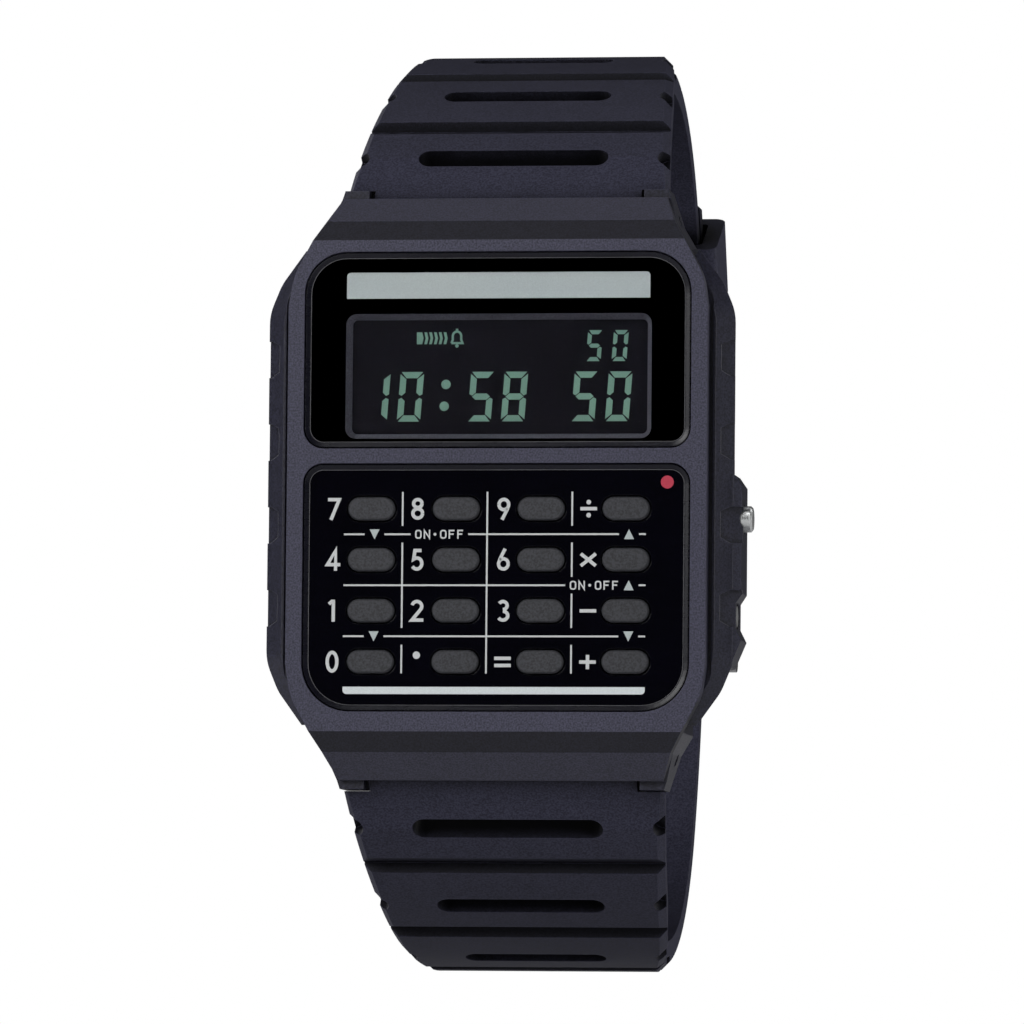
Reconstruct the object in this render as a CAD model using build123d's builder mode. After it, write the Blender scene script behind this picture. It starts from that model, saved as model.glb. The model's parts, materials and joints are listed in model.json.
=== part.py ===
from build123d import *
import math
import os

os.makedirs("parts", exist_ok=True)

# Heights are measured from the case back's outer face towards the front, along -Y
back_thickness = 0.8
back_proud = 0.25
gasket_thickness = 0.3
module_clearance = 0.7
module_height = back_thickness + module_clearance
battery_thickness = 1.6
battery_head_room = 0.7
board_height = module_height + battery_thickness + battery_head_room
board_thickness = 0.8
connector_height = 0.5
lcd_glass_thickness = 1.0
lcd_frame_depth = 0.7
lcd_stack = connector_height + lcd_glass_thickness + lcd_frame_depth
deck_height = board_height + board_thickness + lcd_stack
face_thickness = 1.4
case_height = deck_height + face_thickness
shoulder_fall = 1.0
shoulder_height = deck_height - shoulder_fall
shoulder_drop = 1.3

# Case outline, one quarter of it
case_half_width = 17.4
case_side_half = 12.9
case_corner_inset = 0.9
case_corner_x = case_half_width - case_corner_inset
case_corner_z = 15.1
case_end_inset = 2.7
case_end_x = case_half_width - case_end_inset
case_end_z = 17.6
case_back_inset = 0.8
corner_soften = 4.0

# Bezel outline, one quarter of it
bezel_inset = 1.8
bezel_half_width = case_half_width - bezel_inset
bezel_side_half = 13.2
bezel_corner_inset = 0.35
bezel_corner_x = bezel_half_width - bezel_corner_inset
bezel_corner_z = 15.5
bezel_end_inset = 1.77
bezel_end_x = bezel_half_width - bezel_end_inset
bezel_end_z = 18.15
bezel_soften = 5.0
pick_tolerance = 0.2
bezel_gap = 0.3

# Hoods over the strap ends
hood_fold_inset = 0.88
hood_fold_x = bezel_end_x - hood_fold_inset
hood_fold_z = 19.65
hood_fold_rise = 0.4
hood_fold_height = deck_height + hood_fold_rise
hood_tip_inset = 0.85
hood_tip_x = hood_fold_x - hood_tip_inset
hood_tip_z = 21.6
hood_tip_fall = 2.6
hood_tip_height = hood_fold_height - hood_tip_fall
hood_lip = 0.6
hood_under_z = 19.2
hood_under_drop = 0.6
hood_under_height = deck_height - hood_under_drop
hood_root_z = 18.0

# Lugs
lug_thickness = 1.8
lug_inner_x = hood_tip_x - lug_thickness
lug_tip_z = 22.25
lug_base_height = 0.5
end_fill_inset = 0.23
end_fill_x = bezel_end_x - end_fill_inset
end_fill_start_z = 14.0

# Windows in the bezel
window_surround = 1.2
window_half_width = bezel_half_width - window_surround
display_top = 17.29
display_bottom = 2.72
display_top_radius = 3.15
display_bottom_radius = 1.5
keypad_top = 1.62
keypad_bottom = -16.7
keypad_top_radius = 1.5
keypad_bottom_radius = 3.6
window_fit = 0.04
lens_sink = 0.25
lens_height = case_height - lens_sink
mask_thickness = 0.15
panel_sink = 0.3
panel_height = case_height - panel_sink

# Display behind the window
lcd_centre_x = -0.08
lcd_centre_z = 8.16
lcd_side_room = 6.0
lcd_aperture_width = 2 * window_half_width - lcd_side_room
lcd_aperture_height = 9.26
lcd_aperture_radius = 0.8
lcd_bevel_inset = 0.4
lcd_glass_border = 0.8
lcd_glass_width = lcd_aperture_width + lcd_glass_border
lcd_glass_height = 10.0
lcd_frame_wall = 0.6
connector_shortfall = 3.2
connector_length = lcd_glass_width - connector_shortfall
connector_width = 0.9
connector_inset = 0.7

# Keys
key_columns = 4
key_rows = 4
key_left_room = 5.13
key_side_room = 3.588
key_first_x = key_left_room - window_half_width
key_pitch_x = (2 * window_half_width - key_side_room) / key_columns
key_first_z = -1.73
key_pitch_z = 3.763
key_length = 3.5
key_width = 1.72
key_sink = 0.05
key_top = case_height - key_sink
key_travel = 0.4
key_fit = 0.12
key_flange = 0.3
key_flange_thickness = 0.4
key_flange_gap = 0.05
key_crown = 0.12

# Cavity and the parts inside
key_wall_gap = 1.011
last_key_x = key_first_x + (key_columns - 1) * key_pitch_x
cavity_half_width = last_key_x + key_length / 2 + key_flange + key_wall_gap
cavity_half_height = 14.9
cavity_radius = 2.0
module_fit = 0.2
key_board_thickness = 0.2
key_board_top_z = 1.2
mat_thickness = 0.4
dome_radius = 1.2
dome_gap = 0.05
battery_radius = 10.0
battery_rim_inset = 0.7
battery_rim_radius = battery_radius - battery_rim_inset
battery_rim_step = 0.25
battery_z = -4.2
battery_fit = 0.1
battery_web = 0.5
clip_width = 5.0
clip_thickness = 0.2
clip_end_gap = 0.7
clip_half_length = cavity_half_width - clip_end_gap
piezo_radius = 6.0
piezo_thickness = 0.2
piezo_z = 6.5
chip_x = -5.0
chip_z = 10.5
chip_side = 4.0
chip_thickness = 0.8
crystal_x = -0.2
crystal_z = 12.6
crystal_length = 5.0
crystal_radius = 0.75
pocket_left = -8.0
pocket_right = 5.5
pocket_bottom_z = 7.4
pocket_top_z = 13.8
buzzer_x = 3.6
buzzer_z = 9.6
buzzer_radius = 0.8
buzzer_wire = 0.12
buzzer_turns = 6

# Case back and its screws
back_rim = 1.9
back_half_width = cavity_half_width + back_rim
back_half_height = 16.2
back_radius = 2.2
back_fit = 0.1
back_edge = 0.2
gasket_width = 0.45
screw_inset = 1.3
screw_x = back_half_width - screw_inset
screw_z = back_half_height - screw_inset
screw_head_radius = 0.8
screw_head_depth = 0.45
screw_head_sink = 0.05
screw_shank_radius = 0.4
screw_length = 2.6
screw_slot_width = 0.25
screw_slot_depth = 0.2

# Pushers on the right side
pusher_rise = 0.3
pusher_height = board_height + pusher_rise
pusher_stem_radius = 0.42
pusher_bore_radius = 0.48
pusher_web = 0.9
pusher_web_x = cavity_half_width + pusher_web
pusher_stem_reach = 0.8
pusher_stem_end_x = cavity_half_width - pusher_stem_reach
clip_radius = 0.85
clip_gap = 0.05
clip_depth = 0.25
seal_wire = 0.13
seal_groove_x = 0.5
notch_half_width = 1.1
notch_reach = 1.8
notch_start_x = cavity_half_width - notch_reach
cap_edge = 0.15
mode_z = -2.27
mode_cap_radius = 0.97
mode_cap_proud = 1.2
mode_cap_outer_x = case_half_width + mode_cap_proud
mode_cap_length = 1.7
adjust_z = -9.45
adjust_cap_radius = 0.92
adjust_cap_proud = 0.05
adjust_cap_outer_x = case_half_width + adjust_cap_proud
adjust_cap_length = 1.5
counterbore_fit = 0.08
pusher_spring_wire = 0.09
mode_spring_turns = 5
adjust_spring_turns = 4

# Guard that stands round the pushers
guard_proud = 0.55
guard_x = case_half_width + guard_proud
guard_dip = 0.45
guard_dip_x = guard_x - guard_dip
guard_below = 1.9
guard_above = 1.8
guard_low_height = pusher_height - guard_below
guard_high_height = pusher_height + guard_above
guard_top_z = 0.9
guard_shoulder_z = 0.1
guard_dip_top_z = -7.8
guard_dip_start_z = -8.5
guard_dip_end_z = -10.4
guard_dip_bottom_z = -11.3
guard_bottom_z = -13.3
guard_root_sink = 0.8
guard_root_x = case_half_width - guard_root_sink
guard_end_sink = 0.3
guard_end_x = case_half_width - guard_end_sink

# Recessed pads along both sides
pad_count = 4
pad_first_z = 9.5
pad_pitch = 6.15
pad_outer_half = 1.35
pad_inner_half = 0.95
pad_reach = 1.3
pad_edge_start = 0.35
pad_depth = 0.15

# Loop of the buckled strap: radius and turn of each arc, from the middle of its back upward
loop_back = 48.3
loop_back_radius = 50.0
loop_rear_radius = 20.54
loop_top_radius = 25.4
loop_front_radius = 43.54
loop_back_turn = 29.0
loop_rear_turn = 39.25
loop_top_turn = 42.67
loop_front_turn = 21.28
loop_arcs = (
    (loop_back_radius, math.radians(loop_back_turn)),
    (loop_rear_radius, math.radians(loop_rear_turn)),
    (loop_top_radius, math.radians(loop_top_turn)),
    (loop_front_radius, math.radians(loop_front_turn)),
)
loop_half = sum(radius * turn for radius, turn in loop_arcs)

# Strap
strap_root_depth = 3.3
strap_depth = 2.0
strap_thinning_length = 36.0
strap_root_inset = 0.6
strap_root_half_width = hood_fold_x - strap_root_inset
strap_half_width = 9.0
strap_wide_y = -6.0
strap_root_y = -0.5
strap_second_y = 6.9
strap_third_y = 15.6
strap_narrow_y = 24.0
strap_first_taper = 0.55
strap_first_half_width = strap_root_half_width - strap_first_taper
strap_second_taper = 0.8
strap_second_half_width = strap_first_half_width - strap_second_taper
strap_third_flare = 1.05
strap_third_half_width = strap_half_width + strap_third_flare
strap_step = 5.0
strap_edge = 0.5
strap_bevel_width = 0.6
strap_bevel_depth = 0.6
tongue_fit = 0.3
tongue_half_width = lug_inner_x - tongue_fit
tongue_radius = 1.9
shoulder_z = 22.35
shoulder_reach_y = 6.0
layer_gap = 0.35
crossing_start = 14.0
crossing_end = 1.0
tail_travel = 31.0
tail_tip_radius = 13.0
tail_tip_z = 29.3

# Slots, valleys and edge notches along the strap
rib_pitch = 9.35
slot_width = 1.85
slot_lengths = (14.3, 12.7, 10.8, 9.0)
valley_depth = 0.75
valley_steep = 0.35
valley_gentle = 1.45
valley_clear = 0.5
notch_radius = 0.95
notch_depth = 1.1
notch_clear = 1.0
hole_radius = 1.25
hole_travel = 0.35
hole_pitch = 6.5
holes_below = 4
holes_above = 4

# Spring bars
bar_z = 20.0
bar_height = 2.4
barrel_radius = 0.75
barrel_inner_radius = 0.5
barrel_end_gap = 0.3
barrel_half_length = tongue_half_width - barrel_end_gap
bar_bore_radius = 0.8
tip_radius = 0.42
tip_hole_radius = 0.47
tip_flange_radius = 0.46
tip_flange_inset = 1.5
tip_flange_x = barrel_half_length - tip_flange_inset
tip_flange_length = 0.8
tip_reach = 1.4
tip_end_x = lug_inner_x + tip_reach
bar_spring_radius = 0.34
bar_spring_wire = 0.06
bar_spring_turns = 14
bar_spring_gap = 0.05

# Buckle and keeper
pin_travel = 3.0
pin_out = -1.4
pin_radius = 0.7
pin_bore_radius = 0.76
knuckle_radius = 1.45
knuckle_slot_half = 1.15
knuckle_slot_reach = 5.0
knuckle_slot_depth = 7.0
arm_gap = 0.4
arm_inner_x = strap_half_width + arm_gap
arm_width = 1.9
arm_outer_x = arm_inner_x + arm_width
pin_end_sink = 0.1
pin_half_length = arm_outer_x - pin_end_sink
arm_pin_radius = 1.45
cross_bar_travel = -9.5
cross_bar_out = 2.25
cross_bar_radius = 0.9
prong_half_width = 0.8
prong_ring_radius = 1.38
prong_radius = 0.5
prong_points = ((2.2, -1.2), (0.35, -0.2), (0.3, 3.0), (-1.3, 3.95), (-10.9, 3.87))
keeper_travel = 21.5
keeper_shift = 0.1
keeper_length = 5.8
keeper_gap = 0.35
keeper_side_wall = 1.25
keeper_inner_wall = 1.2
keeper_outer_wall = 1.3
keeper_radius = 0.9
keeper_opening_radius = 0.4


def front_plane(height):
    """Sketch plane that looks out of the front, at a height above the case back."""
    return Plane.XZ.offset(height)


def side_plane(x):
    """Sketch plane across the watch, whose local axes are Y and Z."""
    return Plane.YZ.offset(x)


def full_outline(quarter):
    """Points of a closed outline from those of its upper right quarter."""
    right_top = list(quarter)
    left_top = [(-x, z) for x, z in reversed(right_top)]
    left_bottom = [(-x, -z) for x, z in right_top]
    right_bottom = [(x, -z) for x, z in reversed(right_top)]
    return right_top + left_top + left_bottom + right_bottom


def window_outline(top, bottom, top_radius, bottom_radius, inset):
    """Window sketch with its own corner radius above and below."""
    half = window_half_width - inset
    with Locations((0, (top + bottom) / 2)):
        Rectangle(2 * half, top - bottom - 2 * inset)
    fillet(vertices().group_by(Axis.Y)[-1], radius=top_radius - inset)
    fillet(vertices().group_by(Axis.Y)[0], radius=bottom_radius - inset)


def loop_station(travel):
    """Place and heading on the loop's outer line, at a distance from the middle of its back."""
    y = loop_back
    z = 0
    heading = math.pi / 2
    left = abs(travel)
    for radius, turn in loop_arcs:
        step = min(left / radius, turn)
        centre_y = y - radius * math.sin(heading)
        centre_z = z + radius * math.cos(heading)
        heading += step
        y = centre_y + radius * math.sin(heading)
        z = centre_z - radius * math.cos(heading)
        left -= step * radius
    y += left * math.cos(heading)
    z += left * math.sin(heading)
    return y, z, heading


def loop_point(travel, out):
    """Point beside the loop's outer line; travel below 0 is on the lower half."""
    y, z, heading = loop_station(travel)
    side = 1 if travel >= 0 else -1
    return y + out * math.sin(heading), side * (z - out * math.cos(heading))


def loop_plane(travel, out):
    """Sketch plane that lies on the loop and looks outward."""
    y, z = loop_point(travel, out)
    heading = loop_station(travel)[2]
    side = 1 if travel >= 0 else -1
    outward = (0, math.sin(heading), -side * math.cos(heading))
    return Plane(origin=(0, y, z), x_dir=(1, 0, 0), z_dir=outward)


def strap_depth_at(travel):
    """Thickness of the strap, which thins away from the case."""
    share = min(1, max(0, (loop_half - abs(travel)) / strap_thinning_length))
    return strap_root_depth + (strap_depth - strap_root_depth) * share


def long_strap_out(travel):
    """How far the long strap stands out of the loop's line as it crosses the buckle."""
    share = min(1, max(0, (travel + crossing_start) / (crossing_start - crossing_end)))
    smooth = share * share * (3 - 2 * share)
    return smooth * (strap_depth + layer_gap)


def bar_tangent(point, side, turn):
    """Place where a line from the point meets the tongue's round end."""
    y, z = point
    bar_y = -bar_height
    run = math.hypot(bar_y - y, side * bar_z - z)
    aim = math.atan2(side * bar_z - z, bar_y - y) + turn * math.asin(tongue_radius / run)
    reach = math.sqrt(run * run - tongue_radius * tongue_radius)
    return y + reach * math.cos(aim), z + reach * math.sin(aim)


def strap_outline(outer, inner, side):
    """Side view of a strap half from its two lines, closed round the spring bar."""
    outer_root = bar_tangent(outer[0], side, -side)
    inner_root = bar_tangent(inner[0], side, side)
    away_y = -bar_height - (outer[0][0] + inner[0][0]) / 2
    away_z = side * bar_z - (outer[0][1] + inner[0][1]) / 2
    away = math.hypot(away_y, away_z)
    end_y = -bar_height + tongue_radius * away_y / away
    end_z = side * bar_z + tongue_radius * away_z / away
    with BuildLine() as outline:
        Spline(*outer)
        Line(outer[-1], inner[-1])
        Spline(*inner)
        Line(inner[0], inner_root)
        ThreePointArc(inner_root, (end_y, end_z), outer_root)
        Line(outer_root, outer[0])
    make_face(outline.edges())


def strap_plan():
    """Strap outline from above: wide at the case and narrow at the back."""
    reach = loop_back + shoulder_reach_y
    right = [
        (strap_root_half_width, strap_wide_y),
        (strap_first_half_width, strap_root_y),
        (strap_second_half_width, strap_second_y),
        (strap_third_half_width, strap_third_y),
        (strap_half_width, strap_narrow_y),
    ]
    left = [(-x, y) for x, y in right]
    with BuildLine() as outline:
        Spline(*right, tangents=[(-strap_edge, strap_step), (0, strap_step)])
        Line(right[-1], (strap_half_width, reach))
        Line((strap_half_width, reach), (-strap_half_width, reach))
        Line((-strap_half_width, reach), left[-1])
        Spline(*left, tangents=[(strap_edge, strap_step), (0, strap_step)])
        Line(left[0], right[0])
    make_face(outline.edges())


def half_width_at(travel):
    """Half of the strap's width at a slot."""
    y = loop_station(travel)[0]
    places = (strap_root_y, strap_second_y, strap_third_y, strap_narrow_y)
    widths = (strap_first_half_width, strap_second_half_width, strap_third_half_width, strap_half_width)
    for k in range(len(places) - 1):
        if y <= places[k + 1]:
            share = (y - places[k]) / (places[k + 1] - places[k])
            return widths[k] + share * (widths[k + 1] - widths[k])
    return strap_half_width


def bevel_long_edges(edges, outer):
    """Bevels the long outer edges of a strap half."""
    line = Edge.make_spline([Vector(0, y, z) for y, z in outer])
    picked = []
    for edge in edges:
        middle = edge.position_at(1 / 2)
        near = Vertex(0, middle.Y, middle.Z).distance_to(line) < strap_edge
        if near and edge.length > rib_pitch and abs(middle.X) > strap_half_width - strap_edge:
            picked.append(edge)
    chamfer(picked, length=strap_bevel_width, length2=strap_bevel_depth)


def cut_strap_details(side):
    """Slots, edge notches and valleys of a strap half."""
    for k, length in enumerate(slot_lengths):
        travel = side * (loop_half - k * rib_pitch)
        with BuildSketch(loop_plane(travel, notch_clear)) as slot:
            SlotOverall(length, slot_width)
        extrude(slot.sketch, amount=-2 * strap_root_depth, mode=Mode.SUBTRACT)
        with BuildSketch(loop_plane(travel, notch_clear)) as notches:
            with Locations((half_width_at(travel), 0), (-half_width_at(travel), 0)):
                Circle(notch_radius)
        extrude(notches.sketch, amount=-(notch_clear + notch_depth), mode=Mode.SUBTRACT)
        middle = loop_half - (k + 1 / 2) * rib_pitch
        with BuildSketch(side_plane(0)) as valley:
            Polygon(
                loop_point(side * (middle + valley_gentle), 0),
                loop_point(side * middle, -valley_depth),
                loop_point(side * (middle - valley_steep), 0),
                loop_point(side * (middle - valley_steep), valley_clear),
                loop_point(side * (middle + valley_gentle), valley_clear),
            )
        extrude(valley.sketch, amount=strap_root_half_width, both=True, mode=Mode.SUBTRACT)


def cut_shoulders(side):
    """Square notches beside the tongue, which leave room for the lugs."""
    width = strap_root_half_width - tongue_half_width + strap_edge
    centre_x = tongue_half_width + width / 2
    length = 2 * (shoulder_z - bar_z + tongue_radius)
    centre_z = side * (shoulder_z - length / 2)
    with BuildSketch(front_plane(-shoulder_reach_y)) as blocks:
        with Locations((centre_x, centre_z), (-centre_x, centre_z)):
            Rectangle(width, length)
    extrude(blocks.sketch, amount=shoulder_reach_y + case_height, mode=Mode.SUBTRACT)
    with BuildSketch(side_plane(0)) as bore:
        with Locations((-bar_height, side * bar_z)):
            Circle(bar_bore_radius)
    extrude(bore.sketch, amount=strap_root_half_width, both=True, mode=Mode.SUBTRACT)


# Bezel: front cover with its two windows and the hoods
with BuildPart() as bezel:
    bezel_quarter = [
        (bezel_half_width, bezel_side_half),
        (bezel_corner_x, bezel_corner_z),
        (bezel_end_x, bezel_end_z),
        (hood_fold_x, hood_fold_z),
        (hood_tip_x, hood_tip_z),
    ]
    with BuildSketch(front_plane(0)):
        Polygon(*full_outline(bezel_quarter))
        fillet(
            vertices().filter_by(lambda v: abs(abs(v.X) - bezel_corner_x) < pick_tolerance),
            radius=bezel_soften,
        )
    extrude(amount=case_height)
    with BuildSketch(side_plane(0)):
        Polygon(
            (-case_height, bezel_end_z),
            (-hood_fold_height, hood_fold_z),
            (-hood_tip_height, hood_tip_z),
            (-(hood_tip_height - hood_lip), hood_tip_z),
            (-hood_under_height, hood_under_z),
            (-deck_height, hood_root_z),
            (-deck_height, -hood_root_z),
            (-hood_under_height, -hood_under_z),
            (-(hood_tip_height - hood_lip), -hood_tip_z),
            (-hood_tip_height, -hood_tip_z),
            (-hood_fold_height, -hood_fold_z),
            (-case_height, -bezel_end_z),
        )
    extrude(amount=bezel_half_width, both=True, mode=Mode.INTERSECT)
    with BuildSketch(front_plane(deck_height)):
        window_outline(display_top, display_bottom, display_top_radius, display_bottom_radius, 0)
    extrude(amount=case_height, mode=Mode.SUBTRACT)
    with BuildSketch(front_plane(deck_height)):
        window_outline(keypad_top, keypad_bottom, keypad_top_radius, keypad_bottom_radius, 0)
    extrude(amount=case_height, mode=Mode.SUBTRACT)
bezel.part.label = "bezel"
export_step(bezel.part, "parts/bezel.step")

# Case middle: side walls, lugs, guard and cavity
with BuildPart() as case_middle:
    case_quarter = [
        (case_half_width, case_side_half),
        (case_corner_x, case_corner_z),
        (case_end_x, case_end_z),
    ]
    with BuildSketch(front_plane(shoulder_height)) as case_face:
        Polygon(*full_outline(case_quarter))
        fillet(
            vertices().filter_by(lambda v: abs(abs(v.X) - case_end_x) > pick_tolerance),
            radius=corner_soften,
        )
    extrude(amount=shoulder_drop, taper=math.degrees(math.atan(1)))
    back_drop = shoulder_height - back_proud
    extrude(case_face.sketch, amount=-back_drop, taper=math.degrees(math.atan(case_back_inset / back_drop)))
    lug_quarter = [
        (end_fill_x, end_fill_start_z),
        (bezel_end_x, bezel_end_z),
        (hood_fold_x, hood_fold_z),
        (hood_tip_x, lug_tip_z),
        (lug_inner_x, lug_tip_z),
        (lug_inner_x, case_end_z),
    ]
    with BuildSketch(front_plane(lug_base_height)):
        Polygon(*full_outline(lug_quarter))
    extrude(amount=deck_height - lug_base_height)
    for side in (1, -1):
        with BuildSketch(side_plane(0)):
            Polygon(
                (-deck_height, side * hood_root_z),
                (-hood_under_height, side * hood_under_z),
                (-(hood_tip_height - hood_lip), side * hood_tip_z),
                (-(hood_tip_height - hood_lip), side * (lug_tip_z + hood_lip)),
                (-case_height, side * (lug_tip_z + hood_lip)),
                (-case_height, side * hood_root_z),
            )
        extrude(amount=case_half_width, both=True, mode=Mode.SUBTRACT)
    with BuildSketch(front_plane(guard_low_height)):
        Polygon(
            (guard_root_x, guard_top_z),
            (case_half_width, guard_top_z),
            (guard_x, guard_shoulder_z),
            (guard_x, guard_dip_top_z),
            (guard_dip_x, guard_dip_start_z),
            (guard_dip_x, guard_dip_end_z),
            (guard_x, guard_dip_bottom_z),
            (guard_end_x, guard_bottom_z),
            (guard_root_x, guard_bottom_z),
        )
    extrude(amount=guard_high_height - guard_low_height)
    with BuildSketch(front_plane(deck_height)):
        bezel_recess = [
            (bezel_half_width + bezel_gap, bezel_side_half + bezel_gap),
            (bezel_corner_x + bezel_gap, bezel_corner_z + bezel_gap),
            (bezel_end_x + bezel_gap, bezel_end_z + bezel_gap),
        ]
        Polygon(*full_outline(bezel_recess))
    extrude(amount=case_height, mode=Mode.SUBTRACT)
    with BuildSketch(front_plane(0)):
        RectangleRounded(2 * cavity_half_width, 2 * cavity_half_height, cavity_radius)
    extrude(amount=case_height, mode=Mode.SUBTRACT)
    with BuildSketch(front_plane(0)):
        RectangleRounded(
            2 * (back_half_width + back_fit),
            2 * (back_half_height + back_fit),
            back_radius + back_fit,
        )
    extrude(amount=back_thickness + gasket_thickness, mode=Mode.SUBTRACT)
    with BuildSketch(front_plane(0)):
        with Locations(*full_outline([(screw_x, screw_z)])):
            Circle(screw_shank_radius)
    extrude(amount=screw_length + back_proud, mode=Mode.SUBTRACT)
    for side in (1, -1):
        with BuildSketch(side_plane(0)):
            with Locations((-bar_height, side * bar_z)):
                Circle(tip_hole_radius)
        extrude(amount=case_half_width, both=True, mode=Mode.SUBTRACT)
    pushers = ((mode_z, mode_cap_radius), (adjust_z, adjust_cap_radius))
    for z, radius in pushers:
        with BuildSketch(side_plane(pusher_web_x)):
            with Locations((-pusher_height, z)):
                Circle(radius + counterbore_fit)
        extrude(amount=guard_x, mode=Mode.SUBTRACT)
        with BuildSketch(side_plane(0)):
            with Locations((-pusher_height, z)):
                Circle(pusher_bore_radius)
        extrude(amount=guard_x, mode=Mode.SUBTRACT)
    for k in range(pad_count):
        pad_z = pad_first_z - k * pad_pitch
        for side in (1, -1):
            pad_place = (side * (case_half_width - pad_depth), -(shoulder_height - pad_depth), pad_z)
            with BuildSketch(Plane(origin=pad_place, x_dir=(-side, -1, 0), z_dir=(side, -1, 0))):
                Polygon(
                    (-pad_reach, pad_outer_half),
                    (pad_edge_start, pad_outer_half),
                    (pad_reach, pad_inner_half),
                    (pad_reach, -pad_inner_half),
                    (pad_edge_start, -pad_outer_half),
                    (-pad_reach, -pad_outer_half),
                )
            extrude(amount=pad_reach, mode=Mode.SUBTRACT)
case_middle.part.label = "case_middle"
export_step(case_middle.part, "parts/case_middle.step")

# Case back: flat steel plate with screw holes
with BuildPart() as case_back:
    with BuildSketch(front_plane(0)):
        RectangleRounded(2 * back_half_width, 2 * back_half_height, back_radius)
    extrude(amount=back_thickness)
    chamfer(faces().sort_by(Axis.Y)[-1].edges(), length=back_edge)
    with BuildSketch(front_plane(0)):
        with Locations(*full_outline([(screw_x, screw_z)])):
            Circle(screw_shank_radius + back_fit)
    extrude(amount=back_thickness, mode=Mode.SUBTRACT)
    with BuildSketch(front_plane(0)):
        with Locations(*full_outline([(screw_x, screw_z)])):
            Circle(screw_head_radius)
    extrude(amount=screw_head_depth + screw_head_sink, mode=Mode.SUBTRACT)
case_back.part.label = "case_back"
export_step(case_back.part, "parts/case_back.step")

# Back gasket
with BuildPart() as back_gasket:
    with BuildSketch(front_plane(back_thickness)):
        RectangleRounded(
            2 * (cavity_half_width + gasket_width),
            2 * (cavity_half_height + gasket_width),
            cavity_radius + gasket_width,
        )
        RectangleRounded(
            2 * cavity_half_width,
            2 * cavity_half_height,
            cavity_radius,
            mode=Mode.SUBTRACT,
        )
    extrude(amount=gasket_thickness)
back_gasket.part.label = "back_gasket"
export_step(back_gasket.part, "parts/back_gasket.step")

# Screws of the case back
with BuildPart() as back_screws:
    for x, z in full_outline([(screw_x, screw_z)]):
        with BuildSketch(front_plane(screw_head_sink)):
            with Locations((x, z)):
                Circle(screw_head_radius)
        extrude(amount=screw_head_depth)
        with BuildSketch(front_plane(screw_head_sink)):
            with Locations((x, z)):
                Circle(screw_shank_radius)
        extrude(amount=screw_length)
        with BuildSketch(front_plane(0)):
            with Locations((x, z)):
                Rectangle(2 * screw_head_radius, screw_slot_width)
                Rectangle(screw_slot_width, 2 * screw_head_radius)
        extrude(amount=screw_head_sink + screw_slot_depth, mode=Mode.SUBTRACT)
back_screws.part.label = "back_screws"
export_step(back_screws.part, "parts/back_screws.step")

# Display window: printed mask and clear lens
with BuildPart() as display_mask:
    with BuildSketch(front_plane(deck_height)):
        window_outline(display_top, display_bottom, display_top_radius, display_bottom_radius, window_fit)
        with Locations((lcd_centre_x, lcd_centre_z)):
            RectangleRounded(lcd_aperture_width, lcd_aperture_height, lcd_aperture_radius, mode=Mode.SUBTRACT)
    extrude(amount=mask_thickness)
display_mask.part.label = "display_mask"
export_step(display_mask.part, "parts/display_mask.step")

with BuildPart() as lens:
    with BuildSketch(front_plane(deck_height + mask_thickness)):
        window_outline(display_top, display_bottom, display_top_radius, display_bottom_radius, window_fit)
    extrude(amount=lens_height - deck_height - mask_thickness)
lens.part.label = "lens"
export_step(lens.part, "parts/lens.step")

# Display frame, glass and rubber connectors
lcd_frame_bottom = board_height + board_thickness
lcd_glass_top = deck_height - lcd_frame_depth
lcd_glass_bottom = lcd_glass_top - lcd_glass_thickness
with BuildPart() as lcd_frame:
    with BuildSketch(front_plane(lcd_frame_bottom)):
        with Locations((lcd_centre_x, lcd_centre_z)):
            Rectangle(lcd_glass_width + 2 * lcd_frame_wall, lcd_glass_height + 2 * lcd_frame_wall)
    extrude(amount=deck_height - lcd_frame_bottom)
    with BuildSketch(front_plane(lcd_frame_bottom)):
        with Locations((lcd_centre_x, lcd_centre_z)):
            Rectangle(lcd_glass_width, lcd_glass_height)
    extrude(amount=lcd_glass_top - lcd_frame_bottom, mode=Mode.SUBTRACT)
    with BuildSketch(front_plane(deck_height)):
        with Locations((lcd_centre_x, lcd_centre_z)):
            RectangleRounded(lcd_aperture_width, lcd_aperture_height, lcd_aperture_radius)
    bevel_angle = math.degrees(math.atan(lcd_bevel_inset / lcd_frame_depth))
    extrude(amount=-lcd_frame_depth, taper=bevel_angle, mode=Mode.SUBTRACT)
lcd_frame.part.label = "lcd_frame"
export_step(lcd_frame.part, "parts/lcd_frame.step")

with BuildPart() as lcd_panel:
    with BuildSketch(front_plane(lcd_glass_bottom)):
        with Locations((lcd_centre_x, lcd_centre_z)):
            Rectangle(lcd_glass_width, lcd_glass_height)
    extrude(amount=lcd_glass_thickness)
lcd_panel.part.label = "lcd_panel"
export_step(lcd_panel.part, "parts/lcd_panel.step")

with BuildPart() as lcd_connectors:
    reach = lcd_glass_height / 2 - connector_inset
    with BuildSketch(front_plane(lcd_frame_bottom)):
        with Locations((lcd_centre_x, lcd_centre_z + reach), (lcd_centre_x, lcd_centre_z - reach)):
            Rectangle(connector_length, connector_width)
    extrude(amount=lcd_glass_bottom - lcd_frame_bottom)
lcd_connectors.part.label = "lcd_connectors"
export_step(lcd_connectors.part, "parts/lcd_connectors.step")

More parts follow.
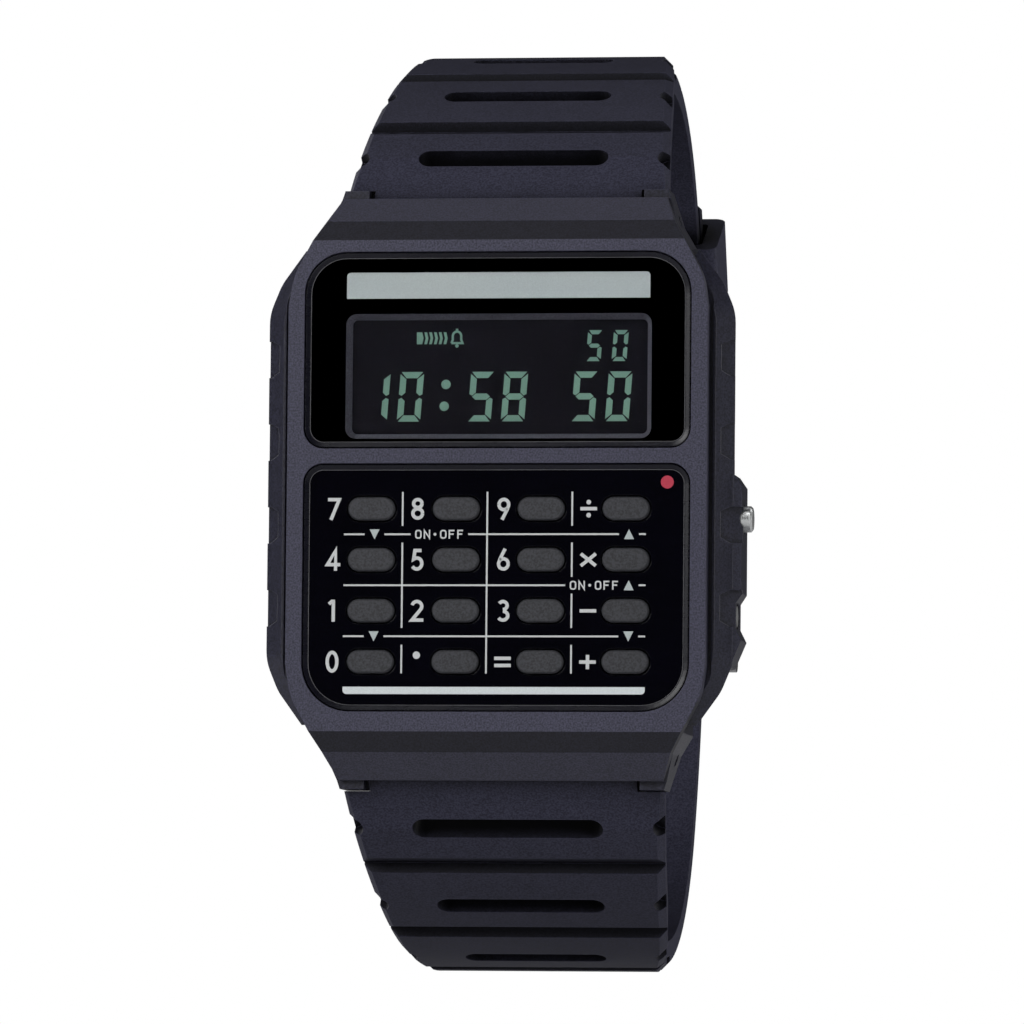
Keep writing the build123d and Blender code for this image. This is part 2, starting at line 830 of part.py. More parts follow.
# Keypad panel with a hole for each key
key_places = [
    (key_first_x + column * key_pitch_x, key_first_z - row * key_pitch_z)
    for row in range(key_rows)
    for column in range(key_columns)
]
key_flange_top = deck_height - key_flange_gap
with BuildPart() as keypad_panel:
    with BuildSketch(front_plane(deck_height)):
        window_outline(keypad_top, keypad_bottom, keypad_top_radius, keypad_bottom_radius, window_fit)
        with Locations(*key_places):
            SlotOverall(key_length + 2 * key_fit, key_width + 2 * key_fit, mode=Mode.SUBTRACT)
    extrude(amount=panel_height - deck_height)
keypad_panel.part.label = "keypad_panel"
export_step(keypad_panel.part, "parts/keypad_panel.step")

# Keys, numbered by row and column
for row in range(key_rows):
    for column in range(key_columns):
        key_name = f"key_{row + 1}{column + 1}"
        with BuildPart() as key:
            with BuildSketch(front_plane(key_flange_top - key_flange_thickness)):
                with Locations(key_places[row * key_columns + column]):
                    SlotOverall(key_length + 2 * key_flange, key_width + 2 * key_flange)
            extrude(amount=key_flange_thickness)
            with BuildSketch(front_plane(key_flange_top)):
                with Locations(key_places[row * key_columns + column]):
                    SlotOverall(key_length, key_width)
            extrude(amount=key_top - key_flange_top)
            chamfer(faces().sort_by(Axis.Y)[0].edges(), length=key_crown)
        key.part.label = key_name
        export_step(key.part, f"parts/{key_name}.step")

# Rubber mat with a dome under each key, and its contact board
module_half_width = cavity_half_width - module_fit
module_half_height = cavity_half_height - module_fit
key_board_base = board_height + board_thickness
key_board_height = module_half_height + key_board_top_z
pusher_notches = ((cavity_half_width, mode_z), (cavity_half_width, adjust_z))
with BuildPart() as key_board:
    with BuildSketch(front_plane(key_board_base)):
        with Locations((0, key_board_top_z - key_board_height / 2)):
            RectangleRounded(2 * module_half_width, key_board_height, cavity_radius)
        with Locations(*pusher_notches):
            Rectangle(2 * (cavity_half_width - notch_start_x), 2 * notch_half_width, mode=Mode.SUBTRACT)
    extrude(amount=key_board_thickness)
key_board.part.label = "key_board"
export_step(key_board.part, "parts/key_board.step")

with BuildPart() as key_mat:
    with BuildSketch(front_plane(key_board_base + key_board_thickness)):
        with Locations((0, key_board_top_z - key_board_height / 2)):
            RectangleRounded(2 * module_half_width, key_board_height, cavity_radius)
        with Locations(*pusher_notches):
            Rectangle(2 * (cavity_half_width - notch_start_x), 2 * notch_half_width, mode=Mode.SUBTRACT)
    extrude(amount=mat_thickness)
    with BuildSketch(front_plane(key_board_base + key_board_thickness)):
        with Locations(*key_places):
            Circle(dome_radius)
    dome_top = key_flange_top - key_flange_thickness - key_travel - dome_gap
    extrude(amount=dome_top - key_board_base - key_board_thickness)
key_mat.part.label = "key_mat"
export_step(key_mat.part, "parts/key_mat.step")

# Circuit board with notches for the pusher stems
with BuildPart() as circuit_board:
    with BuildSketch(front_plane(board_height)):
        RectangleRounded(2 * module_half_width, 2 * module_half_height, cavity_radius)
        with Locations(*pusher_notches):
            Rectangle(2 * (cavity_half_width - notch_start_x), 2 * notch_half_width, mode=Mode.SUBTRACT)
    extrude(amount=board_thickness)
circuit_board.part.label = "circuit_board"
export_step(circuit_board.part, "parts/circuit_board.step")

# Module frame that holds the battery behind the board
with BuildPart() as module_frame:
    with BuildSketch(front_plane(module_height)):
        RectangleRounded(2 * module_half_width, 2 * module_half_height, cavity_radius)
        with Locations(*pusher_notches):
            Rectangle(2 * (cavity_half_width - notch_start_x), 2 * notch_half_width, mode=Mode.SUBTRACT)
    extrude(amount=board_height - module_height)
    with BuildSketch(front_plane(module_height)):
        with Locations((0, battery_z)):
            Circle(battery_radius + battery_fit)
    extrude(amount=board_height - module_height - battery_web, mode=Mode.SUBTRACT)
    with BuildSketch(front_plane(module_height)):
        with Locations(((pocket_left + pocket_right) / 2, (pocket_bottom_z + pocket_top_z) / 2)):
            Rectangle(pocket_right - pocket_left, pocket_top_z - pocket_bottom_z)
    extrude(amount=board_height - module_height, mode=Mode.SUBTRACT)
module_frame.part.label = "module_frame"
export_step(module_frame.part, "parts/module_frame.step")

# Battery and its clip
with BuildPart() as battery:
    with BuildSketch(front_plane(module_height)):
        with Locations((0, battery_z)):
            Circle(battery_radius)
    extrude(amount=battery_thickness - battery_rim_step)
    with BuildSketch(front_plane(module_height)):
        with Locations((0, battery_z)):
            Circle(battery_rim_radius)
    extrude(amount=battery_thickness)
battery.part.label = "battery"
export_step(battery.part, "parts/battery.step")

with BuildPart() as battery_clip:
    with BuildSketch(front_plane(module_height - clip_thickness)):
        with Locations((0, battery_z)):
            RectangleRounded(2 * clip_half_length, clip_width, clip_thickness)
    extrude(amount=clip_thickness)
battery_clip.part.label = "battery_clip"
export_step(battery_clip.part, "parts/battery_clip.step")

# Controller chip, quartz crystal, sounder disc and its contact spring
with BuildPart() as controller_chip:
    with BuildSketch(front_plane(board_height - chip_thickness)):
        with Locations((chip_x, chip_z)):
            Rectangle(chip_side, chip_side)
    extrude(amount=chip_thickness)
controller_chip.part.label = "controller_chip"
export_step(controller_chip.part, "parts/controller_chip.step")

with BuildPart() as quartz_crystal:
    with BuildSketch(side_plane(crystal_x - crystal_length / 2)):
        with Locations((crystal_radius - board_height, crystal_z)):
            Circle(crystal_radius)
    extrude(amount=crystal_length)
quartz_crystal.part.label = "quartz_crystal"
export_step(quartz_crystal.part, "parts/quartz_crystal.step")

with BuildPart() as sounder_disc:
    with BuildSketch(front_plane(back_thickness)):
        with Locations((0, piezo_z)):
            Circle(piezo_radius)
    extrude(amount=piezo_thickness)
sounder_disc.part.label = "sounder_disc"
export_step(sounder_disc.part, "parts/sounder_disc.step")


def coil(length, radius, wire, turns):
    """Helical spring in the open builder, from its local origin along its local Z."""
    run = length - 2 * wire
    with BuildLine() as path:
        Helix(pitch=run / turns, height=run, radius=radius)
    with BuildSketch(Plane(origin=path.line @ 0, z_dir=path.line % 0)) as section:
        Circle(wire)
    sweep(section.sketch, path=path.line)


with BuildPart() as sounder_spring:
    coil(board_height - back_thickness - piezo_thickness, buzzer_radius, buzzer_wire, buzzer_turns)
sounder_base = (buzzer_x, -(back_thickness + piezo_thickness + buzzer_wire), buzzer_z)
sounder_spring_part = front_plane(0).location * sounder_spring.part
sounder_spring_part = Pos(*sounder_base) * sounder_spring_part
sounder_spring_part.label = "sounder_spring"
export_step(sounder_spring_part, "parts/sounder_spring.step")

# Pushers: cap, stem, seal, clip and return spring of each
pusher_table = (
    ("mode", mode_z, mode_cap_radius, mode_cap_outer_x, mode_cap_length, mode_spring_turns),
    ("adjust", adjust_z, adjust_cap_radius, adjust_cap_outer_x, adjust_cap_length, adjust_spring_turns),
)
for name, z, radius, outer_x, length, turns in pusher_table:
    cap_base_x = outer_x - length
    seal_x = cap_base_x + seal_groove_x
    seal_ring_radius = radius + counterbore_fit - seal_wire - clip_gap / 2
    with BuildPart() as pusher:
        with BuildSketch(side_plane(cap_base_x)):
            with Locations((-pusher_height, z)):
                Circle(radius)
        extrude(amount=length)
        chamfer(faces().sort_by(Axis.X)[-1].edges(), length=cap_edge)
        with BuildSketch(side_plane(pusher_stem_end_x)):
            with Locations((-pusher_height, z)):
                Circle(pusher_stem_radius)
        extrude(amount=cap_base_x - pusher_stem_end_x)
        with BuildSketch(side_plane(seal_x - seal_wire)):
            with Locations((-pusher_height, z)):
                Circle(radius)
                Circle(seal_ring_radius - seal_wire, mode=Mode.SUBTRACT)
        extrude(amount=2 * seal_wire, mode=Mode.SUBTRACT)
    pusher.part.label = f"{name}_button"
    export_step(pusher.part, f"parts/{name}_button.step")
    with BuildPart() as seal:
        with Locations(Location((seal_x, -pusher_height, z), (0, math.degrees(math.pi / 2), 0))):
            Torus(seal_ring_radius, seal_wire)
    seal.part.label = f"{name}_seal"
    export_step(seal.part, f"parts/{name}_seal.step")
    with BuildPart() as retainer:
        with BuildSketch(side_plane(cavity_half_width - clip_gap - clip_depth)):
            with Locations((-pusher_height, z)):
                Circle(clip_radius)
                Circle(pusher_stem_radius, mode=Mode.SUBTRACT)
        extrude(amount=clip_depth)
    retainer.part.label = f"{name}_clip"
    export_step(retainer.part, f"parts/{name}_clip.step")
    with BuildPart() as return_spring:
        spring_radius = radius - 2 * pusher_spring_wire
        coil(cap_base_x - pusher_web_x, spring_radius, pusher_spring_wire, turns)
    spring_part = side_plane(0).location * return_spring.part
    spring_part = Pos(pusher_web_x + pusher_spring_wire, -pusher_height, z) * spring_part
    spring_part.label = f"{name}_spring"
    export_step(spring_part, f"parts/{name}_spring.step")

# Spring bars: barrel, two sliding tips and the spring between them
for name, side in (("upper", 1), ("lower", -1)):
    with BuildPart() as barrel:
        with BuildSketch(side_plane(0)):
            with Locations((-bar_height, side * bar_z)):
                Circle(barrel_radius)
                Circle(barrel_inner_radius, mode=Mode.SUBTRACT)
        extrude(amount=barrel_half_length, both=True)
    barrel.part.label = f"{name}_bar_barrel"
    export_step(barrel.part, f"parts/{name}_bar_barrel.step")
    for hand, sign in (("right", 1), ("left", -1)):
        with BuildPart() as tip:
            with BuildSketch(side_plane(sign * tip_flange_x)):
                with Locations((-bar_height, side * bar_z)):
                    Circle(tip_flange_radius)
            extrude(amount=sign * tip_flange_length)
            with BuildSketch(side_plane(sign * tip_flange_x)):
                with Locations((-bar_height, side * bar_z)):
                    Circle(tip_radius)
            extrude(amount=sign * (tip_end_x - tip_flange_x))
        tip.part.label = f"{name}_bar_tip_{hand}"
        export_step(tip.part, f"parts/{name}_bar_tip_{hand}.step")
    with BuildPart() as bar_spring:
        spring_length = 2 * (tip_flange_x - bar_spring_gap)
        coil(spring_length, bar_spring_radius, bar_spring_wire, bar_spring_turns)
    spring_part = side_plane(0).location * bar_spring.part
    spring_part = Pos(bar_spring_wire - spring_length / 2, -bar_height, side * bar_z) * spring_part
    spring_part.label = f"{name}_bar_spring"
    export_step(spring_part, f"parts/{name}_bar_spring.step")

# Short strap, from the upper spring bar to the buckle's hinge
short_steps = int((loop_half - pin_travel) / strap_step)
short_travels = [loop_half + k * (pin_travel - loop_half) / short_steps for k in range(short_steps + 1)]
short_outer = [loop_point(t, 0) for t in short_travels]
short_inner = [loop_point(t, -strap_depth_at(t)) for t in short_travels]
with BuildPart() as strap_short:
    with BuildSketch(side_plane(0)):
        strap_outline(short_outer, short_inner, 1)
    extrude(amount=strap_root_half_width, both=True)
    with BuildSketch(Plane.XY):
        strap_plan()
    extrude(amount=loop_back, both=True, mode=Mode.INTERSECT)
    bevel_long_edges(strap_short.edges(), short_outer)
    with BuildSketch(side_plane(0)):
        with Locations(loop_point(pin_travel, pin_out)):
            Circle(knuckle_radius)
    extrude(amount=strap_half_width, both=True)
    with BuildSketch(side_plane(0)):
        with Locations(loop_point(pin_travel, pin_out)):
            Circle(pin_bore_radius)
    extrude(amount=strap_half_width, both=True, mode=Mode.SUBTRACT)
    with BuildSketch(loop_plane(pin_travel, pin_out)):
        Rectangle(2 * knuckle_slot_half, 2 * knuckle_slot_reach)
    extrude(amount=knuckle_slot_depth, both=True, mode=Mode.SUBTRACT)
    cut_shoulders(1)
    cut_strap_details(1)
strap_short.part.label = "strap_short"
export_step(strap_short.part, "parts/strap_short.step")

# Long strap, from the lower spring bar through the buckle to its free end
long_span = loop_half + tail_travel
long_steps = int(long_span / (strap_step / 2))
long_travels = [-loop_half + k * long_span / long_steps for k in range(long_steps + 1)]
long_outer = [loop_point(t, long_strap_out(t)) for t in long_travels]
long_inner = [loop_point(t, long_strap_out(t) - strap_depth_at(min(0, t))) for t in long_travels]
with BuildPart() as strap_long:
    with BuildSketch(side_plane(0)):
        strap_outline(long_outer, long_inner, -1)
    extrude(amount=strap_root_half_width, both=True)
    with BuildSketch(Plane.XY):
        strap_plan()
    extrude(amount=loop_back, both=True, mode=Mode.INTERSECT)
    bevel_long_edges(strap_long.edges(), long_outer)
    with BuildSketch(front_plane(-strap_narrow_y)):
        with Locations((0, tail_tip_z)):
            Rectangle(2 * strap_root_half_width, 2 * tail_tip_radius)
        with Locations((0, tail_tip_z - tail_tip_radius)):
            Circle(tail_tip_radius, mode=Mode.SUBTRACT)
        with Locations((0, tail_tip_z - 2 * tail_tip_radius)):
            Rectangle(2 * strap_root_half_width, 2 * tail_tip_radius, mode=Mode.SUBTRACT)
    extrude(amount=-loop_back, mode=Mode.SUBTRACT)
    for k in range(-holes_below, holes_above + 1):
        travel = hole_travel + k * hole_pitch
        with BuildSketch(loop_plane(travel, long_strap_out(travel) - strap_depth / 2)):
            Circle(hole_radius)
        extrude(amount=strap_depth, both=True, mode=Mode.SUBTRACT)
    cut_shoulders(-1)
    cut_strap_details(-1)
strap_long.part.label = "strap_long"
export_step(strap_long.part, "parts/strap_long.step")

# Buckle: hinge pin, frame and prong
pin_place = loop_point(pin_travel, pin_out)
with BuildPart() as buckle_pin:
    with BuildSketch(side_plane(0)):
        with Locations(pin_place):
            Circle(pin_radius)
    extrude(amount=pin_half_length, both=True)
buckle_pin.part.label = "buckle_pin"
export_step(buckle_pin.part, "parts/buckle_pin.step")

with BuildPart() as buckle_frame:
    cross_bar_place = loop_point(cross_bar_travel, cross_bar_out)
    with BuildSketch(side_plane(0)):
        with Locations(pin_place):
            Circle(arm_pin_radius)
        with Locations(cross_bar_place):
            Circle(cross_bar_radius)
        make_hull()
    extrude(amount=arm_outer_x, both=True)
    with BuildSketch(side_plane(0)):
        with Locations(pin_place):
            Circle(arm_pin_radius)
        with Locations(cross_bar_place):
            Circle(cross_bar_radius)
        make_hull()
    extrude(amount=arm_inner_x, both=True, mode=Mode.SUBTRACT)
    with BuildSketch(side_plane(0)):
        with Locations(cross_bar_place):
            Circle(cross_bar_radius)
    extrude(amount=arm_outer_x, both=True)
    with BuildSketch(side_plane(0)):
        with Locations(pin_place):
            Circle(pin_bore_radius)
    extrude(amount=arm_outer_x, both=True, mode=Mode.SUBTRACT)
buckle_frame.part.label = "buckle_frame"
export_step(buckle_frame.part, "parts/buckle_frame.step")

with BuildPart() as buckle_prong:
    with BuildSketch(side_plane(0)):
        with Locations(pin_place):
            Circle(prong_ring_radius)
    extrude(amount=prong_half_width, both=True)
    for k in range(len(prong_points) - 1):
        with BuildSketch(side_plane(0)):
            with Locations(loop_point(*prong_points[k]), loop_point(*prong_points[k + 1])):
                Circle(prong_radius)
            make_hull()
        extrude(amount=prong_half_width, both=True)
    with BuildSketch(side_plane(0)):
        with Locations(pin_place):
            Circle(pin_bore_radius)
    extrude(amount=prong_half_width, both=True, mode=Mode.SUBTRACT)
buckle_prong.part.label = "buckle_prong"
export_step(buckle_prong.part, "parts/buckle_prong.step")

# Keeper loop round both layers of the strap
keeper_heading = loop_station(keeper_travel)[2]
keeper_along = Vector(0, math.cos(keeper_heading), math.sin(keeper_heading))
keeper_low = -(strap_depth + keeper_gap)
keeper_high = strap_depth + layer_gap + keeper_gap
keeper_origin = loop_point(keeper_travel, (keeper_low + keeper_high) / 2)
keeper_start = Vector(0, *keeper_origin) + keeper_along * (keeper_shift - keeper_length / 2)
with BuildPart() as strap_keeper:
    with BuildSketch(Plane(origin=keeper_start, x_dir=(1, 0, 0), z_dir=keeper_along)):
        opening_height = keeper_high - keeper_low
        opening_width = 2 * (strap_half_width + keeper_gap)
        with Locations((0, (keeper_outer_wall - keeper_inner_wall) / 2)):
            RectangleRounded(
                opening_width + 2 * keeper_side_wall,
                opening_height + keeper_inner_wall + keeper_outer_wall,
                keeper_radius,
            )
        RectangleRounded(opening_width, opening_height, keeper_opening_radius, mode=Mode.SUBTRACT)
    extrude(amount=keeper_length)
strap_keeper.part.label = "strap_keeper"
export_step(strap_keeper.part, "parts/strap_keeper.step")
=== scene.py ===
import json
import math

import bmesh
import bpy
from mathutils import Matrix, Vector


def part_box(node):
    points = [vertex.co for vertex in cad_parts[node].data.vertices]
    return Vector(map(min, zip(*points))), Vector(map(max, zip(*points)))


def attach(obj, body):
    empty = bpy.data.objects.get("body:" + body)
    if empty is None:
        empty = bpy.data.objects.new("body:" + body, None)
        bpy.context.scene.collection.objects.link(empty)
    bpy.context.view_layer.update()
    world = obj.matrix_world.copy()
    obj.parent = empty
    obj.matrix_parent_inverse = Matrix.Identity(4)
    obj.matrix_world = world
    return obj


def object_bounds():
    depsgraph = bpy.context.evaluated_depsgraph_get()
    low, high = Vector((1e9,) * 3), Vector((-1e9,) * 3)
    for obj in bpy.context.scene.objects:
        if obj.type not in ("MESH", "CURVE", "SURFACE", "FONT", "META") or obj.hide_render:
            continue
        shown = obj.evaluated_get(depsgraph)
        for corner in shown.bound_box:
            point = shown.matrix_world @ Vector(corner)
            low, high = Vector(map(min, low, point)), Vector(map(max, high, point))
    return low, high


MM = 0.001

# Heights of the printed faces above the case back, and of the print on them, in mm
MASK_FACE = 6.95
PANEL_FACE = 7.9
GLASS_FACE = 6.1
LENS_FACE = 7.95
PRINT_LIFT = 0.01
PRINT_THICKNESS = 0.012
PRINT_STEP = 0.0015
PRINT_STEPS = 5

# Key legends, measured from the keys
LEGENDS = (
    ("7", "8", "9", "divide"),
    ("4", "5", "6", "times"),
    ("1", "2", "3", "minus"),
    ("0", "point", "equals", "plus"),
)
LEGEND_LEFT_OF_KEY = 2.78
LEGEND_SHIFTS = (-0.08, -0.1, 0, 0)
LEGEND_HEIGHT = 1.62
LEGEND_STROKE = 0.25
LEGEND_WIDTH_SHARE = 0.6
LEGEND_WIDE_SHARE = 0.67
WIDE_DIGITS = "47"

# Sum signs: shares of the legend's height, of the sign's reach and of the stroke
SIGN_REACH = 0.38
POINT_RISE = 0.3
POINT_RADIUS = 1.1
PLUS_STEM = 0.85
TIMES_WIDTH = 0.9
TIMES_FLATTENING = 0.8
DIVIDE_RISE = 0.78
DIVIDE_DOT = 0.7
EQUALS_GAP = 1.05

# Dividing lines between the keys
GRID_RIGHT_OF_KEY = 2.3
GRID_LEFT_END = 2.06
GRID_RIGHT_END = 1.47
GRID_STROKE = 0.13
GRID_RISE = 1.25
GRID_BREAK = 0.62
GRID_FOOT = 0.85
GRID_SHORTEST = 0.3
# Upright line and row gap, both counted from 0, that cross without a break
GRID_CROSSINGS = {(0, 1), (1, 0), (1, 1), (1, 2)}

# Triangles and words that interrupt the level lines
MARK_SIZE = 0.74
MARK_FROM_KEY = 0.22
WORD_HEIGHT = 0.66
WORD_STROKE = 0.11
WORD_PITCH = 0.64
WORD_WIDTH_SHARE = 0.74
WORD_REACH = 2.15
WORD_LETTERS = (("O", -2.45), ("N", -1.45), ("O", 0.45), ("F", 1.45), ("F", 2.45))
WORD_DOT = -0.52
FIRST_WORD_FROM_KEY = -1.25
SECOND_WORD_FROM_KEY = -2.33
# For each row gap: kind, column of the key below which it stands, and shift from that key
ROW_ITEMS = (
    (("down", 0, MARK_FROM_KEY), ("word", 1, FIRST_WORD_FROM_KEY), ("up", 3, MARK_FROM_KEY)),
    (("word", 3, SECOND_WORD_FROM_KEY), ("up", 3, MARK_FROM_KEY)),
    (("down", 0, MARK_FROM_KEY), ("down", 3, MARK_FROM_KEY)),
)

# Silver bars and the red dot
LOWER_BAR_TOP = -14.86
LOWER_BAR_BOTTOM = -15.4
UPPER_BAR_LEFT = -11.43
UPPER_BAR_RIGHT = 11.18
UPPER_BAR_TOP = 15.85
UPPER_BAR_BOTTOM = 13.92
BAR_CORNER = 0.28
BAR_CORNER_STEPS = 5
DOT_PLACE = (12.66, 0.22)
DOT_RADIUS = 0.48

# Windows: top, bottom, upper and lower corner radius; and their bevelled rims
WINDOW_HALF = 14.4
DISPLAY_WINDOW = (17.29, 2.72, 3.15, 1.5)
KEYPAD_WINDOW = (1.62, -16.7, 1.5, 3.6)
WINDOW_CORNER_STEPS = 10
RIM_GROOVE = 0.1
RIM_WIDTH = 0.36
RIM_RISE = 0.14
RIM_LINE = 0.05
RIM_LINE_HEIGHT = 1.6

# Digits on the display
BIG_DIGIT_HEIGHT = 3.68
BIG_DIGIT_WIDTH = 1.75
BIG_STROKE = 0.46
BIG_CENTRE_Z = 6.7
BIG_PLACES = (("1", -9.24), ("0", -6.74), ("5", -1.47), ("8", 1.03), ("5", 6.25), ("0", 8.79))
SMALL_DIGIT_HEIGHT = 2.29
SMALL_DIGIT_WIDTH = 1.1
SMALL_STROKE = 0.3
SMALL_CENTRE_Z = 10.45
SMALL_PLACES = (("5", 6.95), ("0", 8.87))
LIT_SEGMENTS = {"0": "abcdef", "1": "bc", "5": "afgcd", "8": "abcdefg"}
DIGIT_SLANT = 0.075
SEGMENT_GAP = 0.08
SEGMENT_CHAMFER = 0.45
COLON_X = -4.15
COLON_REACH = 0.81
COLON_RISE = 0.1
COLON_RADIUS = 0.35

# Icons on the display: signal bars and a bell, whose parts are shares of its size
ICON_CENTRE_Z = 11.04
SIGNAL_LEFT = -6.1
SIGNAL_PITCH = 0.36
SIGNAL_COUNT = 6
SIGNAL_BAR = 0.2
SIGNAL_FIRST_BAR = 2.0
SIGNAL_BOW = 0.5
SIGNAL_HEIGHT = 0.88
BELL_X = -3.3
BELL_WIDTH = 1.15
BELL_HEIGHT = 1.3
BELL_LINE = 0.16
BELL_FOOT_DROP = 0.28
BELL_SHOULDER = 0.24
BELL_DOME_RISE = 0.12
BELL_DOME_WIDTH = 0.55
BELL_DOME_HEIGHT = 0.26
BELL_DOME_STEPS = 10
BELL_KNOB = 0.09
BELL_KNOB_BOTTOM = 0.43
BELL_KNOB_TOP = 0.54
BELL_CLAPPER = 0.13
BELL_CLAPPER_DROP = 1.3

# Line drawing
DISC_POINTS = 24
SHARPEST_MITRE = 0.35

# Camera: direction in degrees, distance in mm and the scale of the photograph
CAMERA_AZIMUTH = 8.0
CAMERA_ELEVATION = -4.0
CAMERA_ROLL = 0.5
CAMERA_DISTANCE = 650.0
CAMERA_REACH = (0.01, 20)
PIXELS_PER_MM = 13.59
FRAME_PIXELS = 1024
FACE_HEIGHT = 8.2
FACE_PIXEL = (496.0, 485.0)
SENSOR = 36.0

# Stage, in metres
FLOOR_SIZE = 1.6
FLOOR_DROP = 0.006
FLOOR_GLOW = 0.38
FLOOR_GRAIN_MM = 4
FLOOR_COLOURS = ((0.3, (0.8, 0.8, 0.81)), (0.7, (0.84, 0.84, 0.85)))
FLOOR_ROUGHNESS = (0.75, 0.85)
WORLD_LEVELS = (0.03, 1.0)
# Light panels aimed at the origin: name, place, width, height, power
LIGHT_PANELS = (
    ("key_panel", (-0.42, -0.62, 0.3), 0.36, 0.4, 3.0),
    ("fill_panel", (0.6, -0.52, 0.06), 0.3, 0.5, 1.5),
    ("high_panel", (-0.06, -0.48, 0.52), 0.5, 0.14, 0.7),
    ("top_panel", (0, 0.24, 0.6), 0.7, 0.25, 0.3),
    ("side_panel", (0.6, -0.04, 0.04), 0.15, 0.4, 0.06),
    ("left_rim", (-0.5, 0.45, 0.15), 0.25, 0.5, 0.8),
    ("right_rim", (0.55, 0.35, 0.2), 0.25, 0.5, 0.8),
)

# Shader settings that all materials share
NOISE_ROUGHNESS = 0.55
NOISE_RANGE = (0.3, 0.7)
RAY_SAMPLES = 4
EDGE_TURNS = (0.995, 0.9)
MIX_INPUTS = (6, 7, 0)
MIX_RESULT = 2

# Resin: sizes in mm, tones as (place on the noise, gain of the colour)
BLOTCH_MM = 3.5
BLOTCH_TONES = ((0.35, 0.9), (0.65, 1.1))
SPECK_TONES = ((0.36, 0.45), (0.64, 1.65))
# Painted edge highlight, patchy like wear: size of its patches in mm and the range of its strength
RESIN_WEAR_AND_SHEEN_MM = 0.8
RESIN_WEAR_AND_SHEEN = (0.15, 0.7)
RESIN_GLOSS = (-0.06, 0.08)
RESIN_BUMP = 0.35
# Painted shade by slope: how far a face turns up or down, from 0 to 1, and the tone there
HOOD_SLOPE_SHADE = ((0.3, 1.0), (0.48, 0.25), (0.62, 0.25), (0.74, 0.8), (1.0, 0.8))
STRAP_SLOPE_SHADE = ((0.2, 1.0), (0.6, 0.85), (0.95, 0.6))
# Painted shade in crevices: reach in mm, darkest tone, openness where it is reached and where it ends
STRAP_CREVICE_SHADE = (3.0, 0.06, 0.72, 0.97)
CASE_CREVICE_SHADE = (1.2, 0.4, 0.55, 0.96)

# Gloss: faint cloud and wipe marks
CLOUD_MM = 6
CLOUD_TONES = ((0.3, 0.8), (0.7, 1.2))
WIPE_MM = 0.7
WIPE_STRETCH = (0.25, 1, 1.6)
WIPE_GLOSS = (0, 0.05)
WIPE_BUMP = (0.05, 0.002)
PANEL_EDGE_MM = 0.1

# Metal: fine lines along one direction over a broad cloud
ALONG_X = (0.06, 1, 1)
ALONG_Z = (1, 1, 0.06)
EVEN = (1, 1, 1)
LINE_TONES = ((0.3, 0.78), (0.7, 1.12))
BROAD_MM = 2.5
BROAD_TONES = ((0.3, 0.9), (0.7, 1.05))
BROAD_SHARE = 0.4
METAL_GLOSS = (-0.05, 0.12)
METAL_BUMP = (0.25, 0.004)
METAL_EDGE_MM = 0.06

# Clear lens
LENS_WIPE_MM = 0.9
LENS_STRETCH = (0.3, 1, 1.5)
LENS_ROUGHNESS = (0.0, 0.02)
LENS_TINT_MM = 8
LENS_TINTS = ((0.3, (0.96, 0.97, 0.99)), (0.7, (1, 1, 1)))
LENS_IOR = 1.05

# Ink
INK_GRAIN_MM = 0.05
INK_TONES = ((0.3, 0.86), (0.7, 1.06))
INK_GLOSS = (0, 0.12)
INK_BUMP = (0.1, 0.003)

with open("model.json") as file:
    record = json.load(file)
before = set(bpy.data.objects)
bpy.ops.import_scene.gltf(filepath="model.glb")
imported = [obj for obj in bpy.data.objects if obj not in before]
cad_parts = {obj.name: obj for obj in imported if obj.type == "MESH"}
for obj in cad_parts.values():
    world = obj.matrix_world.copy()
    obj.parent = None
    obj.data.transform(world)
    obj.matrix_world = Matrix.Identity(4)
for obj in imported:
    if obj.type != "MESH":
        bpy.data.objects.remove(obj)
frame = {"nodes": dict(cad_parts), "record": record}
cad_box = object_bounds()


def key_centre(row, column):
    """Centre of a key's top, in mm across and up."""
    low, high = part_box(f"key_{row}{column}")
    low, high = low / MM, high / MM
    return (low.x + high.x) / 2, (low.z + high.z) / 2


key_columns = [key_centre(1, column)[0] for column in range(1, 5)]
key_rows = [key_centre(row, 1)[1] for row in range(1, 5)]
grid_left = key_columns[0] - GRID_LEFT_END
grid_right = key_columns[3] + GRID_RIGHT_END


def shade(colour, factor):
    """A colour made lighter or darker."""
    return tuple(min(1, c * factor) for c in colour)


